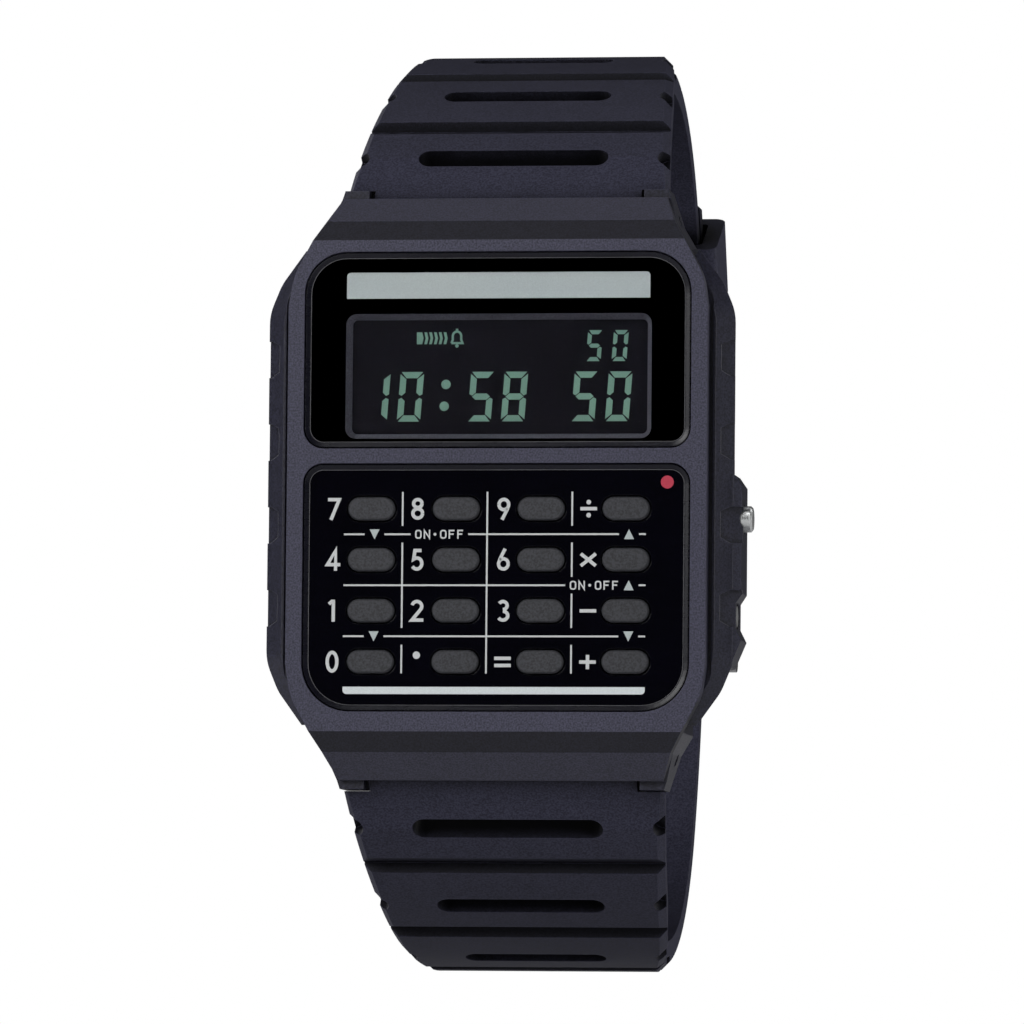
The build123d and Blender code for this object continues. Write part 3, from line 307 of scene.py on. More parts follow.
class Shader:
    """A small helper that adds and links the nodes of one material."""

    def __init__(self, name):
        self.material = bpy.data.materials.new(name)
        self.material.use_nodes = True
        self.tree = self.material.node_tree
        self.bsdf = self.tree.nodes["Principled BSDF"]
        self.place = self.add("ShaderNodeTexCoord").outputs["Object"]

    def add(self, kind, **values):
        node = self.tree.nodes.new(kind)
        for key, value in values.items():
            setattr(node, key, value)
        return node

    def link(self, output, socket):
        self.tree.links.new(output, socket)

    def fill(self, socket, value):
        """Gives a socket a number, a colour or a link."""
        if isinstance(value, (int, float)):
            socket.default_value = value
        elif isinstance(value, tuple):
            socket.default_value = (*value, 1)
        else:
            self.link(value, socket)

    def paint(self, name, output):
        """Links a value to one of the main shader's sockets."""
        self.link(output, self.bsdf.inputs[name])

    def set(self, **values):
        """Sets plain values on the main shader's sockets."""
        for key, value in values.items():
            self.bsdf.inputs[key.replace("_", " ")].default_value = value

    def calculate(self, operation, *values):
        node = self.add("ShaderNodeMath", operation=operation)
        for socket, value in zip(node.inputs, values):
            self.fill(socket, value)
        return node.outputs[0]

    def noise(self, size_mm, detail, stretch=None):
        """Noise whose features are about as large as the size in mm."""
        texture = self.add("ShaderNodeTexNoise")
        texture.inputs["Scale"].default_value = 1 / (size_mm * MM)
        texture.inputs["Detail"].default_value = detail
        texture.inputs["Roughness"].default_value = NOISE_ROUGHNESS
        source = self.place
        if stretch:
            mapping = self.add("ShaderNodeMapping")
            mapping.inputs["Scale"].default_value = stretch
            self.link(source, mapping.inputs["Vector"])
            source = mapping.outputs["Vector"]
        self.link(source, texture.inputs["Vector"])
        return texture.outputs["Fac"]

    def ramp(self, factor, stops):
        """Colour ramp from (place, colour) pairs."""
        node = self.add("ShaderNodeValToRGB")
        elements = node.color_ramp.elements
        for k, (place, colour) in enumerate(stops):
            element = elements[k] if k < 2 else elements.new(place)
            element.position = place
            element.color = (*colour, 1)
        self.link(factor, node.inputs["Fac"])
        return node.outputs["Color"]

    def tinted(self, factor, colour, tones):
        """Colour ramp from (place, gain) pairs around one colour."""
        return self.ramp(factor, [(place, shade(colour, gain)) for place, gain in tones])

    def grey(self, factor, tones):
        """Grey ramp from (place, tone) pairs."""
        return self.ramp(factor, [(place, (tone,) * 3) for place, tone in tones])

    def spread(self, factor, low, high):
        """A value between two limits that follows a noise."""
        node = self.add("ShaderNodeMapRange")
        node.inputs["From Min"].default_value = NOISE_RANGE[0]
        node.inputs["From Max"].default_value = NOISE_RANGE[1]
        node.inputs["To Min"].default_value = low
        node.inputs["To Max"].default_value = high
        self.link(factor, node.inputs["Value"])
        return node.outputs["Result"]

    def roughen(self, factor, rough, change):
        """Roughness that follows a noise, between two changes from its middle value."""
        self.paint("Roughness", self.spread(factor, rough + change[0], rough + change[1]))

    def mix(self, first, second, factor, blend="MIX"):
        node = self.add("ShaderNodeMix", data_type="RGBA", blend_type=blend)
        for index, value in zip(MIX_INPUTS, (first, second, factor)):
            self.fill(node.inputs[index], value)
        return node.outputs[MIX_RESULT]

    def edges(self, radius_mm):
        """Value that is 1 along sharp edges and 0 on flat faces, with the rounded normal."""
        bevel = self.add("ShaderNodeBevel", samples=RAY_SAMPLES)
        bevel.inputs["Radius"].default_value = radius_mm * MM
        geometry = self.add("ShaderNodeNewGeometry")
        product = self.add("ShaderNodeVectorMath", operation="DOT_PRODUCT")
        self.link(bevel.outputs["Normal"], product.inputs[0])
        self.link(geometry.outputs["Normal"], product.inputs[1])
        turned = self.add("ShaderNodeMapRange")
        turned.inputs["From Min"].default_value = EDGE_TURNS[0]
        turned.inputs["From Max"].default_value = EDGE_TURNS[1]
        self.link(product.outputs["Value"], turned.inputs["Value"])
        return turned.outputs["Result"], bevel.outputs["Normal"]

    def shade_by_slope(self, tones):
        """Painted shade: grey factor that follows how far a face turns up or down."""
        geometry = self.add("ShaderNodeNewGeometry")
        split = self.add("ShaderNodeSeparateXYZ")
        self.link(geometry.outputs["True Normal"], split.inputs["Vector"])
        return self.grey(self.calculate("ABSOLUTE", split.outputs["Z"]), tones)

    def shade_in_crevices(self, reach_mm, darkest, hidden_end, open_end):
        """Painted shade: grey factor that is darker in slots and valleys."""
        hidden = self.add("ShaderNodeAmbientOcclusion", samples=RAY_SAMPLES)
        hidden.inputs["Distance"].default_value = reach_mm * MM
        return self.grey(hidden.outputs["AO"], [(hidden_end, darkest), (open_end, 1)])

    def bump(self, height, strength, distance_mm, normal=None):
        node = self.add("ShaderNodeBump")
        node.inputs["Strength"].default_value = strength
        node.inputs["Distance"].default_value = distance_mm * MM
        self.link(height, node.inputs["Height"])
        if normal is not None:
            self.link(normal, node.inputs["Normal"])
        self.paint("Normal", node.outputs["Normal"])


def moulded(name, colour, rough, grain_mm, grain_depth, edge_mm=0.08, edge_gain=1.5,
            specular=0.5, slope_shade=None, crevice_shade=None, speckle=0.8):
    """Moulded resin: fine grain, faint blotches and lighter edges, a painted highlight broken up in
    worn-looking patches; it can also add painted shade by slope and in crevices.
    """
    s = Shader(name)
    blotch = s.noise(BLOTCH_MM, 4)
    grain = s.noise(grain_mm, 2)
    base = s.tinted(blotch, colour, BLOTCH_TONES)
    mixed = s.mix(base, s.tinted(grain, colour, SPECK_TONES), speckle)
    # Painted shade: darker where faces turn up or down, standing in for how the light falls on them
    if slope_shade:
        mixed = s.mix(mixed, s.shade_by_slope(slope_shade), 1.0, "MULTIPLY")
    # Painted shade: darker in slots, valleys and gaps between parts
    if crevice_shade:
        mixed = s.mix(mixed, s.shade_in_crevices(*crevice_shade), 1.0, "MULTIPLY")
    # Painted highlight: lighter colour along sharp edges, broken up in patches like wear
    edge, rounded_normal = s.edges(edge_mm)
    wear_and_sheen = s.calculate("MULTIPLY", edge, s.spread(s.noise(RESIN_WEAR_AND_SHEEN_MM, 3), *RESIN_WEAR_AND_SHEEN))
    s.paint("Base Color", s.mix(mixed, shade(colour, edge_gain), wear_and_sheen))
    s.roughen(grain, rough, RESIN_GLOSS)
    s.bump(grain, RESIN_BUMP, grain_depth, rounded_normal)
    s.set(Specular_IOR_Level=specular)
    return s.material


def glossy(name, colour, rough, specular=0.42):
    """Glossy panel: deep colour, faint dust and fine wipe marks in its gloss."""
    s = Shader(name)
    wipe = s.noise(WIPE_MM, 4, WIPE_STRETCH)
    s.paint("Base Color", s.tinted(s.noise(CLOUD_MM, 3), colour, CLOUD_TONES))
    s.roughen(wipe, rough, WIPE_GLOSS)
    s.bump(wipe, *WIPE_BUMP, s.edges(PANEL_EDGE_MM)[1])
    s.set(Specular_IOR_Level=specular)
    return s.material


def metal(name, colour, rough, stretch, grain_mm=0.09):
    """Turned or brushed metal: fine lines along one direction."""
    s = Shader(name)
    lines = s.noise(grain_mm, 3, stretch)
    fine = s.tinted(lines, colour, LINE_TONES)
    broad = s.tinted(s.noise(BROAD_MM, 3), colour, BROAD_TONES)
    s.paint("Base Color", s.mix(fine, broad, BROAD_SHARE))
    s.roughen(lines, rough, METAL_GLOSS)
    s.bump(lines, *METAL_BUMP, s.edges(METAL_EDGE_MM)[1])
    s.set(Metallic=1.0)
    return s.material


def clear_glass(name):
    """Clear lens with a slight tint and fine wipe marks."""
    s = Shader(name)
    s.paint("Roughness", s.spread(s.noise(LENS_WIPE_MM, 3, LENS_STRETCH), *LENS_ROUGHNESS))
    s.paint("Base Color", s.ramp(s.noise(LENS_TINT_MM, 2), LENS_TINTS))
    s.set(Transmission_Weight=1.0, IOR=LENS_IOR)
    return s.material


def printed(name, colour, rough):
    """Ink or foil print: even colour with a fine screen grain."""
    s = Shader(name)
    grain = s.noise(INK_GRAIN_MM, 2)
    s.paint("Base Color", s.tinted(grain, colour, INK_TONES))
    s.roughen(grain, rough, INK_GLOSS)
    s.bump(grain, *INK_BUMP)
    return s.material


# Builder and values of each look, by the name of its material
LOOK_TABLE = {
    # Bezel: painted shade on its sloping hood faces and a painted highlight along its edges
    "bezel_resin": (moulded, dict(
        colour=(0.0465, 0.046, 0.076), rough=0.5, grain_mm=0.13, grain_depth=0.016,
        edge_mm=0.1, edge_gain=1.8, specular=0.4, slope_shade=HOOD_SLOPE_SHADE)),
    # Case: painted shade in its gaps and a strong painted highlight along its edges
    "case_resin": (moulded, dict(
        colour=(0.019, 0.019, 0.036), rough=0.36, grain_mm=0.14, grain_depth=0.008,
        edge_mm=0.1, edge_gain=2.6, crevice_shade=CASE_CREVICE_SHADE)),
    "brushed_steel": (metal, dict(colour=(0.56, 0.56, 0.57), rough=0.3, stretch=ALONG_X)),
    "seal_rubber": (moulded, dict(
        colour=(0.02, 0.02, 0.02), rough=0.7, grain_mm=0.1, grain_depth=0.01)),
    "screw_steel": (metal, dict(colour=(0.55, 0.55, 0.56), rough=0.28, stretch=EVEN)),
    "clear_lens": (clear_glass, {}),
    "window_black": (glossy, dict(colour=(0.001, 0.0009, 0.003), rough=0.08)),
    "panel_black": (glossy, dict(colour=(0.001, 0.0009, 0.003), rough=0.07, specular=0.3)),
    "frame_grey": (moulded, dict(
        colour=(0.1, 0.1, 0.125), rough=0.5, grain_mm=0.08, grain_depth=0.006,
        edge_mm=0.05, edge_gain=1.3)),
    "lcd_glass": (glossy, dict(colour=(0.005, 0.0045, 0.008), rough=0.35, specular=0.12)),
    "connector_rubber": (moulded, dict(
        colour=(0.1, 0.1, 0.1), rough=0.65, grain_mm=0.12, grain_depth=0.01)),
    "key_grey": (moulded, dict(
        colour=(0.029, 0.03, 0.036), rough=0.55, grain_mm=0.15, grain_depth=0.03,
        edge_mm=0.12, edge_gain=1.6)),
    "mat_rubber": (moulded, dict(
        colour=(0.35, 0.35, 0.36), rough=0.6, grain_mm=0.12, grain_depth=0.01)),
    "contact_film": (moulded, dict(
        colour=(0.42, 0.28, 0.1), rough=0.45, grain_mm=0.15, grain_depth=0.004)),
    "board_green": (moulded, dict(
        colour=(0.03, 0.15, 0.06), rough=0.4, grain_mm=0.2, grain_depth=0.006)),
    "module_plastic": (moulded, dict(
        colour=(0.25, 0.25, 0.26), rough=0.5, grain_mm=0.15, grain_depth=0.01)),
    "battery_steel": (metal, dict(colour=(0.66, 0.66, 0.66), rough=0.25, stretch=ALONG_X)),
    "chip_black": (moulded, dict(
        colour=(0.02, 0.02, 0.02), rough=0.6, grain_mm=0.08, grain_depth=0.006)),
    "crystal_steel": (metal, dict(colour=(0.68, 0.68, 0.69), rough=0.2, stretch=ALONG_X)),
    "brass": (metal, dict(colour=(0.68, 0.5, 0.24), rough=0.3, stretch=ALONG_X)),
    "pusher_steel": (metal, dict(
        colour=(0.92, 0.95, 0.95), rough=0.29, stretch=ALONG_Z, grain_mm=0.12)),
    "clip_steel": (metal, dict(colour=(0.5, 0.5, 0.5), rough=0.35, stretch=EVEN)),
    "spring_steel": (metal, dict(colour=(0.5, 0.5, 0.5), rough=0.3, stretch=EVEN)),
    "bar_steel": (metal, dict(colour=(0.58, 0.58, 0.58), rough=0.28, stretch=ALONG_X)),
    # Strap: painted shade by slope and in its valleys and slots, and a painted highlight along its edges
    "strap_resin": (moulded, dict(
        colour=(0.048, 0.048, 0.077), rough=0.52, grain_mm=0.15, grain_depth=0.02,
        edge_mm=0.1, edge_gain=1.8, specular=0.12, slope_shade=STRAP_SLOPE_SHADE,
        crevice_shade=STRAP_CREVICE_SHADE, speckle=0.55)),
    "buckle_steel": (metal, dict(colour=(0.56, 0.56, 0.57), rough=0.24, stretch=ALONG_X)),
    "silver_ink": (printed, dict(colour=(0.5, 0.56, 0.56), rough=0.45)),
    "bright_ink": (printed, dict(colour=(0.75, 0.81, 0.82), rough=0.45)),
    "white_ink": (printed, dict(colour=(0.66, 0.68, 0.68), rough=0.5)),
    "red_ink": (printed, dict(colour=(0.55, 0.035, 0.075), rough=0.45)),
    "segment_ink": (printed, dict(colour=(0.175, 0.34, 0.26), rough=0.5)),
    "window_rim": (glossy, dict(colour=(0.004, 0.004, 0.009), rough=0.25, specular=0.3)),
    # Pale grey of the thin line inside each window rim: painted highlight
    "window_rim_line": (glossy, dict(colour=(0.12, 0.12, 0.13), rough=0.2)),
}
LOOKS = {name: build(name, **values) for name, (build, values) in LOOK_TABLE.items()}


def paint_frame():
    """Gives every CAD node the look of its material slot."""
    for part in frame["record"]["subparts"]:
        shown = frame["nodes"][part["node"]]
        shown.data.materials.clear()
        shown.data.materials.append(LOOKS[part["material_slot"]])


def add_piece(name, made, look):
    """Turns a finished bmesh into a piece that rides on the case."""
    bmesh.ops.recalc_face_normals(made, faces=made.faces)
    mesh = bpy.data.meshes.new(name)
    made.to_mesh(mesh)
    made.free()
    mesh.materials.append(LOOKS[look])
    piece = bpy.data.objects.new(name, mesh)
    bpy.context.scene.collection.objects.link(piece)
    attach(piece, "case")


def flat_piece(name, polygons, height, look):
    """A thin printed piece made of polygons on a plane that faces forward."""
    made = bmesh.new()
    for k, polygon in enumerate(polygons):
        top = height + PRINT_LIFT + PRINT_THICKNESS + PRINT_STEP * (k % PRINT_STEPS)
        face = made.faces.new([made.verts.new((x * MM, -top * MM, z * MM)) for x, z in polygon])
        face.normal_update()
        if face.normal.y > 0:
            face.normal_flip()
    walls = bmesh.ops.extrude_face_region(made, geom=list(made.faces), use_keep_orig=True)
    moved = [item for item in walls["geom"] if isinstance(item, bmesh.types.BMVert)]
    bmesh.ops.translate(made, verts=moved, vec=(0, PRINT_THICKNESS * MM, 0))
    add_piece(name, made, look)


def rectangle(left, right, bottom, top):
    return [(left, bottom), (right, bottom), (right, top), (left, top)]


def arc(centre, radius_x, radius_z, start, end, steps):
    """Points along an elliptic arc, in degrees."""
    points = []
    for k in range(steps + 1):
        turn = math.radians(start + (end - start) * k / steps)
        points.append((centre[0] + radius_x * math.cos(turn), centre[1] + radius_z * math.sin(turn)))
    return points


def disc(centre, radius):
    last = DISC_POINTS - 1
    return arc(centre, radius, radius, 0, 360 * last / DISC_POINTS, last)


def rounded(left, right, bottom, top, upper, lower, steps):
    """Points round a rectangle, with a corner radius above and one below; 0 is a sharp corner."""
    corners = (
        (right - upper, top - upper, upper),
        (left + upper, top - upper, upper),
        (left + lower, bottom + lower, lower),
        (right - lower, bottom + lower, lower),
    )
    points = []
    for k, (x, z, radius) in enumerate(corners):
        if radius:
            points += arc((x, z), radius, radius, 90 * k, 90 * (k + 1), steps)
        else:
            points.append((x, z))
    return points


def stroke(points, width):
    """Quadrilaterals that follow a line of points with mitred corners."""
    sides = []
    for k, point in enumerate(points):
        here = Vector(point)
        before = (here - Vector(points[k - 1])).normalized() if k > 0 else None
        after = (Vector(points[k + 1]) - here).normalized() if k + 1 < len(points) else None
        along = before or after
        run = along + (after or before)
        run.normalize()
        across = Vector((-run.y, run.x))
        cosine = max(SHARPEST_MITRE, across.dot(Vector((-along.y, along.x))))
        reach = across * (width / 2 / cosine)
        sides.append((here + reach, here - reach))
    return [[tuple(a), tuple(b), tuple(d), tuple(c)] for (a, b), (c, d) in zip(sides, sides[1:])]


def glyph_lines(sign, width, weight):
    """Centre lines of a sign in a box of height 1 that is centred on 0."""
    top = 0.5 - weight / 2
    half = width / 2 - weight / 2
    end = half + weight / 2
    narrow = half * 0.86
    corner = half * 0.75
    letter_o = rounded(-half, half, -top, top, corner, corner, 4)
    six = [
        arc((0, -0.19), half, top - 0.19, 0, 360, 22),
        [(half * 0.35, 0.5), (-half * 0.82, -0.02)],
    ]
    return {
        "0": [arc((0, 0), half, top, 0, 360, 28)],
        "1": [[(-half * 0.75, top - 0.12), (-half * 0.15, top), (half * 0.15, top), (half * 0.15, -0.5)]],
        "2": [arc((0, top - half), half, half, 165, -38, 14) + [(-half, -top), (end, -top)]],
        "3": [
            arc((0, 0.24), narrow, top - 0.24, 150, -90, 14),
            arc((0, -0.22), half, top - 0.22, 90, -150, 14),
        ],
        "4": [[(half * 0.45, -0.5), (half * 0.45, top), (-half, -0.22), (end, -0.22)]],
        "5": [
            [(half * 0.85, top), (-half * 0.5, top)]
            + arc((-half * 0.1, -0.17), half * 1.05, top - 0.17, 128, -148, 16)
        ],
        "6": six,
        "7": [[(-half, top), (half, top), (-half * 0.45, -0.5)]],
        "8": [
            arc((0, 0.24), narrow, top - 0.24, 0, 360, 22),
            arc((0, -0.21), half, top - 0.21, 0, 360, 22),
        ],
        "9": [[(-x, -z) for x, z in line] for line in six],
        "N": [[(-half, -0.5), (-half, top), (half, -top), (half, 0.5)]],
        "F": [[(-half, -0.5), (-half, top), (half, top)], [(-half, 0.02), (half * 0.7, 0.02)]],
        "O": [letter_o + [letter_o[0]]],
    }[sign]


def sign_quads(sign, place, height, width, weight):
    """Stroke polygons of a sign at its place, in mm."""
    quads = []
    for line in glyph_lines(sign, width / height, weight / height):
        points = [(place[0] + x * height, place[1] + z * height) for x, z in line]
        quads += stroke(points, weight)
    return quads


def legend_shapes(sign, place):
    """Polygons of one key legend: a digit or a sum sign."""
    if sign.isdigit():
        share = LEGEND_WIDE_SHARE if sign in WIDE_DIGITS else LEGEND_WIDTH_SHARE
        return sign_quads(sign, place, LEGEND_HEIGHT, LEGEND_HEIGHT * share, LEGEND_STROKE)
    x, z = place
    reach = LEGEND_HEIGHT * SIGN_REACH
    half = LEGEND_STROKE / 2
    across = rectangle(x - reach, x + reach, z - half, z + half)
    if sign == "point":
        return [disc((x, z + LEGEND_HEIGHT * POINT_RISE), LEGEND_STROKE * POINT_RADIUS)]
    if sign == "minus":
        return [across]
    if sign == "plus":
        below = rectangle(x - half, x + half, z - reach * PLUS_STEM, z - half)
        above = rectangle(x - half, x + half, z + half, z + reach * PLUS_STEM)
        return [across, below, above]
    if sign == "times":
        wide = reach * TIMES_WIDTH
        tall = wide * TIMES_FLATTENING
        rising = stroke([(x - wide, z - tall), (x + wide, z + tall)], LEGEND_STROKE)
        falling = stroke([(x - wide, z + tall), (x + wide, z - tall)], LEGEND_STROKE)
        return rising + falling
    if sign == "divide":
        radius = LEGEND_STROKE * DIVIDE_DOT
        return [across] + [disc((x, z + side * reach * DIVIDE_RISE), radius) for side in (1, -1)]
    gap = LEGEND_STROKE * EQUALS_GAP
    return [[(px, pz + side * gap) for px, pz in across] for side in (1, -1)]


def keypad_legends():
    """Digits and sum signs beside the keys."""
    legends = []
    for row, signs in enumerate(LEGENDS, 1):
        for column, sign in enumerate(signs, 1):
            x, z = key_centre(row, column)
            shift = LEGEND_SHIFTS[column - 1] - LEGEND_LEFT_OF_KEY
            legends += legend_shapes(sign, (x + shift, z))
    flat_piece("keypad_legends", legends, PANEL_FACE, "white_ink")


def keypad_columns():
    """Upright dividing lines, broken where a level line passes without crossing."""
    half = GRID_STROKE / 2
    lines = []
    for k in range(3):
        x = key_columns[k] + GRID_RIGHT_OF_KEY
        top = key_rows[0] + GRID_RISE
        for r in range(3):
            if (k, r) not in GRID_CROSSINGS:
                middle = (key_rows[r] + key_rows[r + 1]) / 2
                lines.append(rectangle(x - half, x + half, middle + GRID_BREAK, top))
                top = middle - GRID_BREAK
        lines.append(rectangle(x - half, x + half, key_rows[3] - GRID_FOOT, top))
    flat_piece("keypad_columns", lines, PANEL_FACE, "white_ink")


def word_shapes(x, z):
    """Letters of a small word, with the dot between its two parts."""
    shapes = []
    for sign, shift in WORD_LETTERS:
        place = (x + shift * WORD_PITCH, z)
        shapes += sign_quads(sign, place, WORD_HEIGHT, WORD_HEIGHT * WORD_WIDTH_SHARE, WORD_STROKE)
    shapes.append(disc((x + WORD_DOT * WORD_PITCH, z), WORD_STROKE))
    return shapes


def keypad_rows():
    """Level dividing lines with the triangles and words that interrupt them."""
    half = GRID_STROKE / 2
    reach_of_mark = MARK_SIZE / 2
    lines, marks, words = [], [], []
    for r, items in enumerate(ROW_ITEMS):
        z = (key_rows[r] + key_rows[r + 1]) / 2
        start = grid_left
        for kind, column, shift in items:
            x = key_columns[column] + shift
            reach = WORD_REACH if kind == "word" else MARK_SIZE
            if x - reach - start > GRID_SHORTEST:
                lines.append(rectangle(start, x - reach, z - half, z + half))
            start = x + reach
            if kind == "word":
                words += word_shapes(x, z)
            else:
                tip = reach_of_mark if kind == "up" else -reach_of_mark
                marks.append([(x - reach_of_mark, z - tip), (x + reach_of_mark, z - tip), (x, z + tip)])
        lines.append(rectangle(start, grid_right, z - half, z + half))
    flat_piece("keypad_rows", lines, PANEL_FACE + 2 * PRINT_THICKNESS, "white_ink")
    flat_piece("keypad_marks", marks, PANEL_FACE, "silver_ink")
    flat_piece("keypad_words", words, PANEL_FACE, "white_ink")


def keypad_bar_and_dot():
    bar = rounded(grid_left, grid_right, LOWER_BAR_BOTTOM, LOWER_BAR_TOP, 0, BAR_CORNER, BAR_CORNER_STEPS)
    flat_piece("lower_silver_bar", [bar], PANEL_FACE, "bright_ink")
    flat_piece("red_dot", [disc(DOT_PLACE, DOT_RADIUS)], PANEL_FACE, "red_ink")


def segment_shapes(digit, place, height, width, weight):
    """Polygons of the lit segments of one slanted digit."""
    half = width / 2
    tall = height / 2
    gap = SEGMENT_GAP
    w = weight
    chamfer = w * SEGMENT_CHAMFER
    shapes = {
        "a": [(-half + gap, tall), (half - gap, tall), (half - w, tall - w), (-half + w, tall - w)],
        "d": [(-half + w, w - tall), (half - w, w - tall), (half - gap, -tall), (-half + gap, -tall)],
        "g": [(-half + chamfer, 0), (-half + w, w / 2), (half - w, w / 2), (half - chamfer, 0),
              (half - w, -w / 2), (-half + w, -w / 2)],
        "b": [(half, tall - gap * 2), (half, gap + chamfer / 2), (half - chamfer, gap),
              (half - w, w / 2 + gap), (half - w, tall - w - gap)],
    }
    shapes["c"] = [(x, -z) for x, z in shapes["b"]]
    shapes["f"] = [(-x, z) for x, z in shapes["b"]]
    shapes["e"] = [(-x, -z) for x, z in shapes["b"]]
    return [
        [(place[0] + x + z * DIGIT_SLANT, place[1] + z) for x, z in shapes[name]]
        for name in LIT_SEGMENTS[digit]
    ]


def display_digits():
    """Lit segments and the colon on the display glass."""
    shapes = []
    for digit, x in BIG_PLACES:
        shapes += segment_shapes(digit, (x, BIG_CENTRE_Z), BIG_DIGIT_HEIGHT, BIG_DIGIT_WIDTH, BIG_STROKE)
    for digit, x in SMALL_PLACES:
        place = (x, SMALL_CENTRE_Z)
        shapes += segment_shapes(digit, place, SMALL_DIGIT_HEIGHT, SMALL_DIGIT_WIDTH, SMALL_STROKE)
    for side in (1, -1):
        x = COLON_X + side * COLON_REACH * DIGIT_SLANT
        shapes.append(disc((x, BIG_CENTRE_Z + COLON_RISE + side * COLON_REACH), COLON_RADIUS))
    flat_piece("display_digits", shapes, GLASS_FACE, "segment_ink")


def signal_shapes():
    """Row of bowed bars, the first of them a solid block."""
    low = -SIGNAL_HEIGHT / 2 + ICON_CENTRE_Z
    high = SIGNAL_HEIGHT / 2 + ICON_CENTRE_Z
    bow = SIGNAL_BAR * SIGNAL_BOW
    shapes = []
    for k in range(SIGNAL_COUNT):
        left = SIGNAL_LEFT + k * SIGNAL_PITCH
        right = left + SIGNAL_BAR
        hollow = bow
        if k == 0:
            left -= SIGNAL_BAR * SIGNAL_FIRST_BAR - SIGNAL_BAR
            hollow = 0
        shapes.append([(left, low), (right, low), (right + bow, ICON_CENTRE_Z), (right, high),
                       (left, high), (left + hollow, ICON_CENTRE_Z)])
    return shapes


def bell_shapes():
    """Outline of a bell, with its knob and clapper."""
    half = BELL_WIDTH / 2
    waist = half * BELL_DOME_WIDTH
    foot = ICON_CENTRE_Z - BELL_HEIGHT * BELL_FOOT_DROP
    centre = (BELL_X, ICON_CENTRE_Z + BELL_HEIGHT * BELL_DOME_RISE)
    outline = [(BELL_X - half + BELL_LINE, foot), (BELL_X - waist, foot + BELL_SHOULDER)]
    outline += arc(centre, waist, BELL_HEIGHT * BELL_DOME_HEIGHT, 180, 0, BELL_DOME_STEPS)
    outline += [(BELL_X + waist, foot + BELL_SHOULDER), (BELL_X + half - BELL_LINE, foot)]
    knob_low = ICON_CENTRE_Z + BELL_HEIGHT * BELL_KNOB_BOTTOM
    knob_high = ICON_CENTRE_Z + BELL_HEIGHT * BELL_KNOB_TOP
    knob = rectangle(BELL_X - BELL_KNOB, BELL_X + BELL_KNOB, knob_low, knob_high)
    clapper = disc((BELL_X, foot - BELL_LINE * BELL_CLAPPER_DROP), BELL_CLAPPER)
    return stroke(outline + [outline[0]], BELL_LINE) + [knob, clapper]


def display_icons_and_bar():
    icons = signal_shapes() + bell_shapes()
    flat_piece("display_icons", icons, GLASS_FACE, "segment_ink")
    bar = rounded(UPPER_BAR_LEFT, UPPER_BAR_RIGHT, UPPER_BAR_BOTTOM, UPPER_BAR_TOP, BAR_CORNER, 0,
                  BAR_CORNER_STEPS)
    flat_piece("upper_silver_bar", [bar], MASK_FACE, "silver_ink")


def window_outline(top, bottom, top_radius, bottom_radius, inset):
    """Points round a window that is made smaller by the inset."""
    half = WINDOW_HALF - inset
    upper = top_radius - inset
    lower = bottom_radius - inset
    return rounded(-half, half, bottom + inset, top - inset, upper, lower, WINDOW_CORNER_STEPS)


def loft_ring(name, outline, profile, look):
    """A closed ring round a window: the profile is a list of (inset, height) pairs in mm."""
    made = bmesh.new()
    loops = []
    for inset, height in profile:
        points = window_outline(*outline, inset)
        loops.append([made.verts.new((x * MM, -height * MM, z * MM)) for x, z in points])
    for loop, following in zip(loops, loops[1:] + loops[:1]):
        for j in range(len(loop)):
            after = (j + 1) % len(loop)
            made.faces.new((loop[j], loop[after], following[after], following[j]))
    add_piece(name, made, look)


def window_rims():
    """Bevelled edge of each window, with a thin raised line along its inner side whose pale grey colour
    is a painted highlight.
    """
    outer = RIM_GROOVE
    inner = RIM_GROOVE + RIM_WIDTH
    for name, outline, glass in (
        ("display", DISPLAY_WINDOW, LENS_FACE),
        ("keypad", KEYPAD_WINDOW, PANEL_FACE),
    ):
        rim = [(outer, glass), (outer, glass + RIM_RISE), (inner, glass + RIM_LINE), (inner, glass)]
        loft_ring(f"{name}_rim", outline, rim, "window_rim")
        # Thin raised line along the inner side; its pale colour is a painted highlight
        top = glass + RIM_LINE * RIM_LINE_HEIGHT
        line = [(inner, glass), (inner, top), (inner + RIM_LINE, top), (inner + RIM_LINE, glass)]
        loft_ring(f"{name}_rim_line", outline, line, "window_rim_line")


def stage_material():
    """Pale floor, with some light of its own that only the camera sees."""
    s = Shader("pale_floor")
    path = s.add("ShaderNodeLightPath")
    s.paint("Emission Strength", s.calculate("MULTIPLY", path.outputs["Is Camera Ray"], FLOOR_GLOW))
    s.set(Emission_Color=(1, 1, 1, 1))
    grain = s.noise(FLOOR_GRAIN_MM, 3)
    s.paint("Base Color", s.ramp(grain, FLOOR_COLOURS))
    s.paint("Roughness", s.spread(grain, *FLOOR_ROUGHNESS))
    return s.material


def build_stage(floor_z):
    """Pale floor under the watch."""
    mesh = bpy.data.meshes.new("floor")
    made = bmesh.new()
    bmesh.ops.create_grid(made, x_segments=2, y_segments=2, size=FLOOR_SIZE)
    made.to_mesh(mesh)
    made.free()
    floor = bpy.data.objects.new("floor", mesh)
    floor.location = (0, 0, floor_z)
    mesh.materials.append(stage_material())
    bpy.context.scene.collection.objects.link(floor)


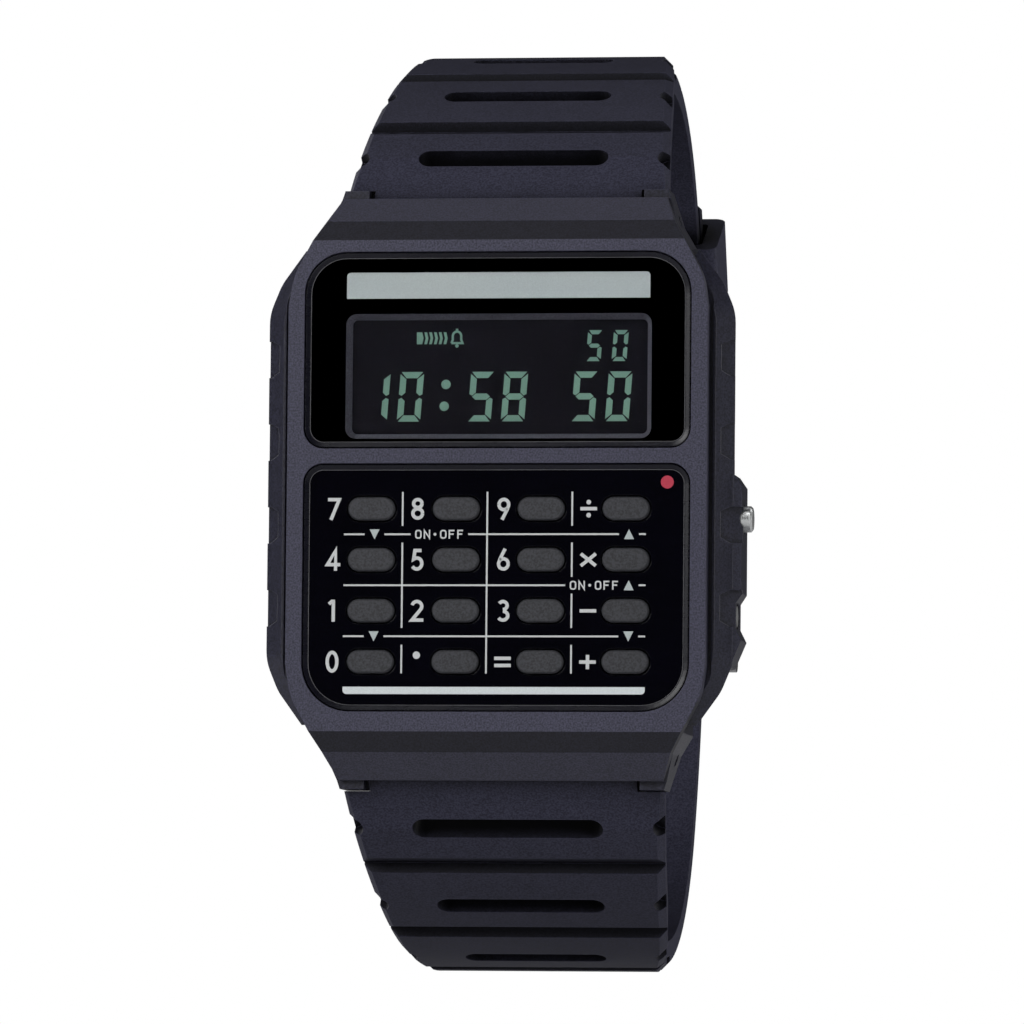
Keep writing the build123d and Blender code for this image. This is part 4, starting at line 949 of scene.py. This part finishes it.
def build_light():
    """Soft studio light: panels above, beside and behind, and a pale surround."""
    for name, place, width, height, power in LIGHT_PANELS:
        data = bpy.data.lights.new(name, "AREA")
        data.shape = "RECTANGLE"
        data.size = width
        data.size_y = height
        data.energy = power
        light = bpy.data.objects.new(name, data)
        light.location = place
        aim = Vector((0, 0, 0)) - Vector(place)
        light.rotation_euler = aim.to_track_quat("-Z", "Y").to_euler()
        bpy.context.scene.collection.objects.link(light)
    world = bpy.data.worlds.new("studio")
    world.use_nodes = True
    tree = world.node_tree
    background = tree.nodes["Background"]
    path = tree.nodes.new("ShaderNodeLightPath")
    level = tree.nodes.new("ShaderNodeMapRange")
    level.inputs["To Min"].default_value = WORLD_LEVELS[0]
    level.inputs["To Max"].default_value = WORLD_LEVELS[1]
    tree.links.new(path.outputs["Is Camera Ray"], level.inputs["Value"])
    tree.links.new(level.outputs["Result"], background.inputs["Strength"])
    background.inputs["Color"].default_value = (1, 1, 1, 1)
    bpy.context.scene.world = world


def build_camera():
    """Camera at the photograph's angle, aimed so that the face lands where the photograph has it."""
    azimuth = math.radians(CAMERA_AZIMUTH)
    elevation = math.radians(CAMERA_ELEVATION)
    back = Vector((
        math.sin(azimuth) * math.cos(elevation),
        -math.cos(azimuth) * math.cos(elevation),
        math.sin(elevation),
    ))
    turn = (-back).to_track_quat("-Z", "Y").to_matrix()
    turn = turn @ Matrix.Rotation(math.radians(CAMERA_ROLL), 3, "Z")
    centre = FRAME_PIXELS / 2
    across = (centre - FACE_PIXEL[0]) / PIXELS_PER_MM
    up = (FACE_PIXEL[1] - centre) / PIXELS_PER_MM
    target = Vector((0, -FACE_HEIGHT, 0)) + turn @ Vector((across, up, 0))
    data = bpy.data.cameras.new("photo_camera")
    data.sensor_width = SENSOR
    data.lens = SENSOR * CAMERA_DISTANCE * PIXELS_PER_MM / FRAME_PIXELS
    data.clip_start, data.clip_end = CAMERA_REACH
    camera = bpy.data.objects.new("photo_camera", data)
    camera.location = (target + back * CAMERA_DISTANCE) * MM
    camera.rotation_mode = "QUATERNION"
    camera.rotation_quaternion = turn.to_quaternion()
    bpy.context.scene.collection.objects.link(camera)
    bpy.context.scene.camera = camera
    return camera


paint_frame()
keypad_legends()
keypad_columns()
keypad_rows()
keypad_bar_and_dot()
display_digits()
display_icons_and_bar()
window_rims()
camera = build_camera()
build_stage(min(cad_box[0].z, camera.location.z) - FLOOR_DROP)
build_light()
bpy.context.scene.view_settings.view_transform = "Standard"
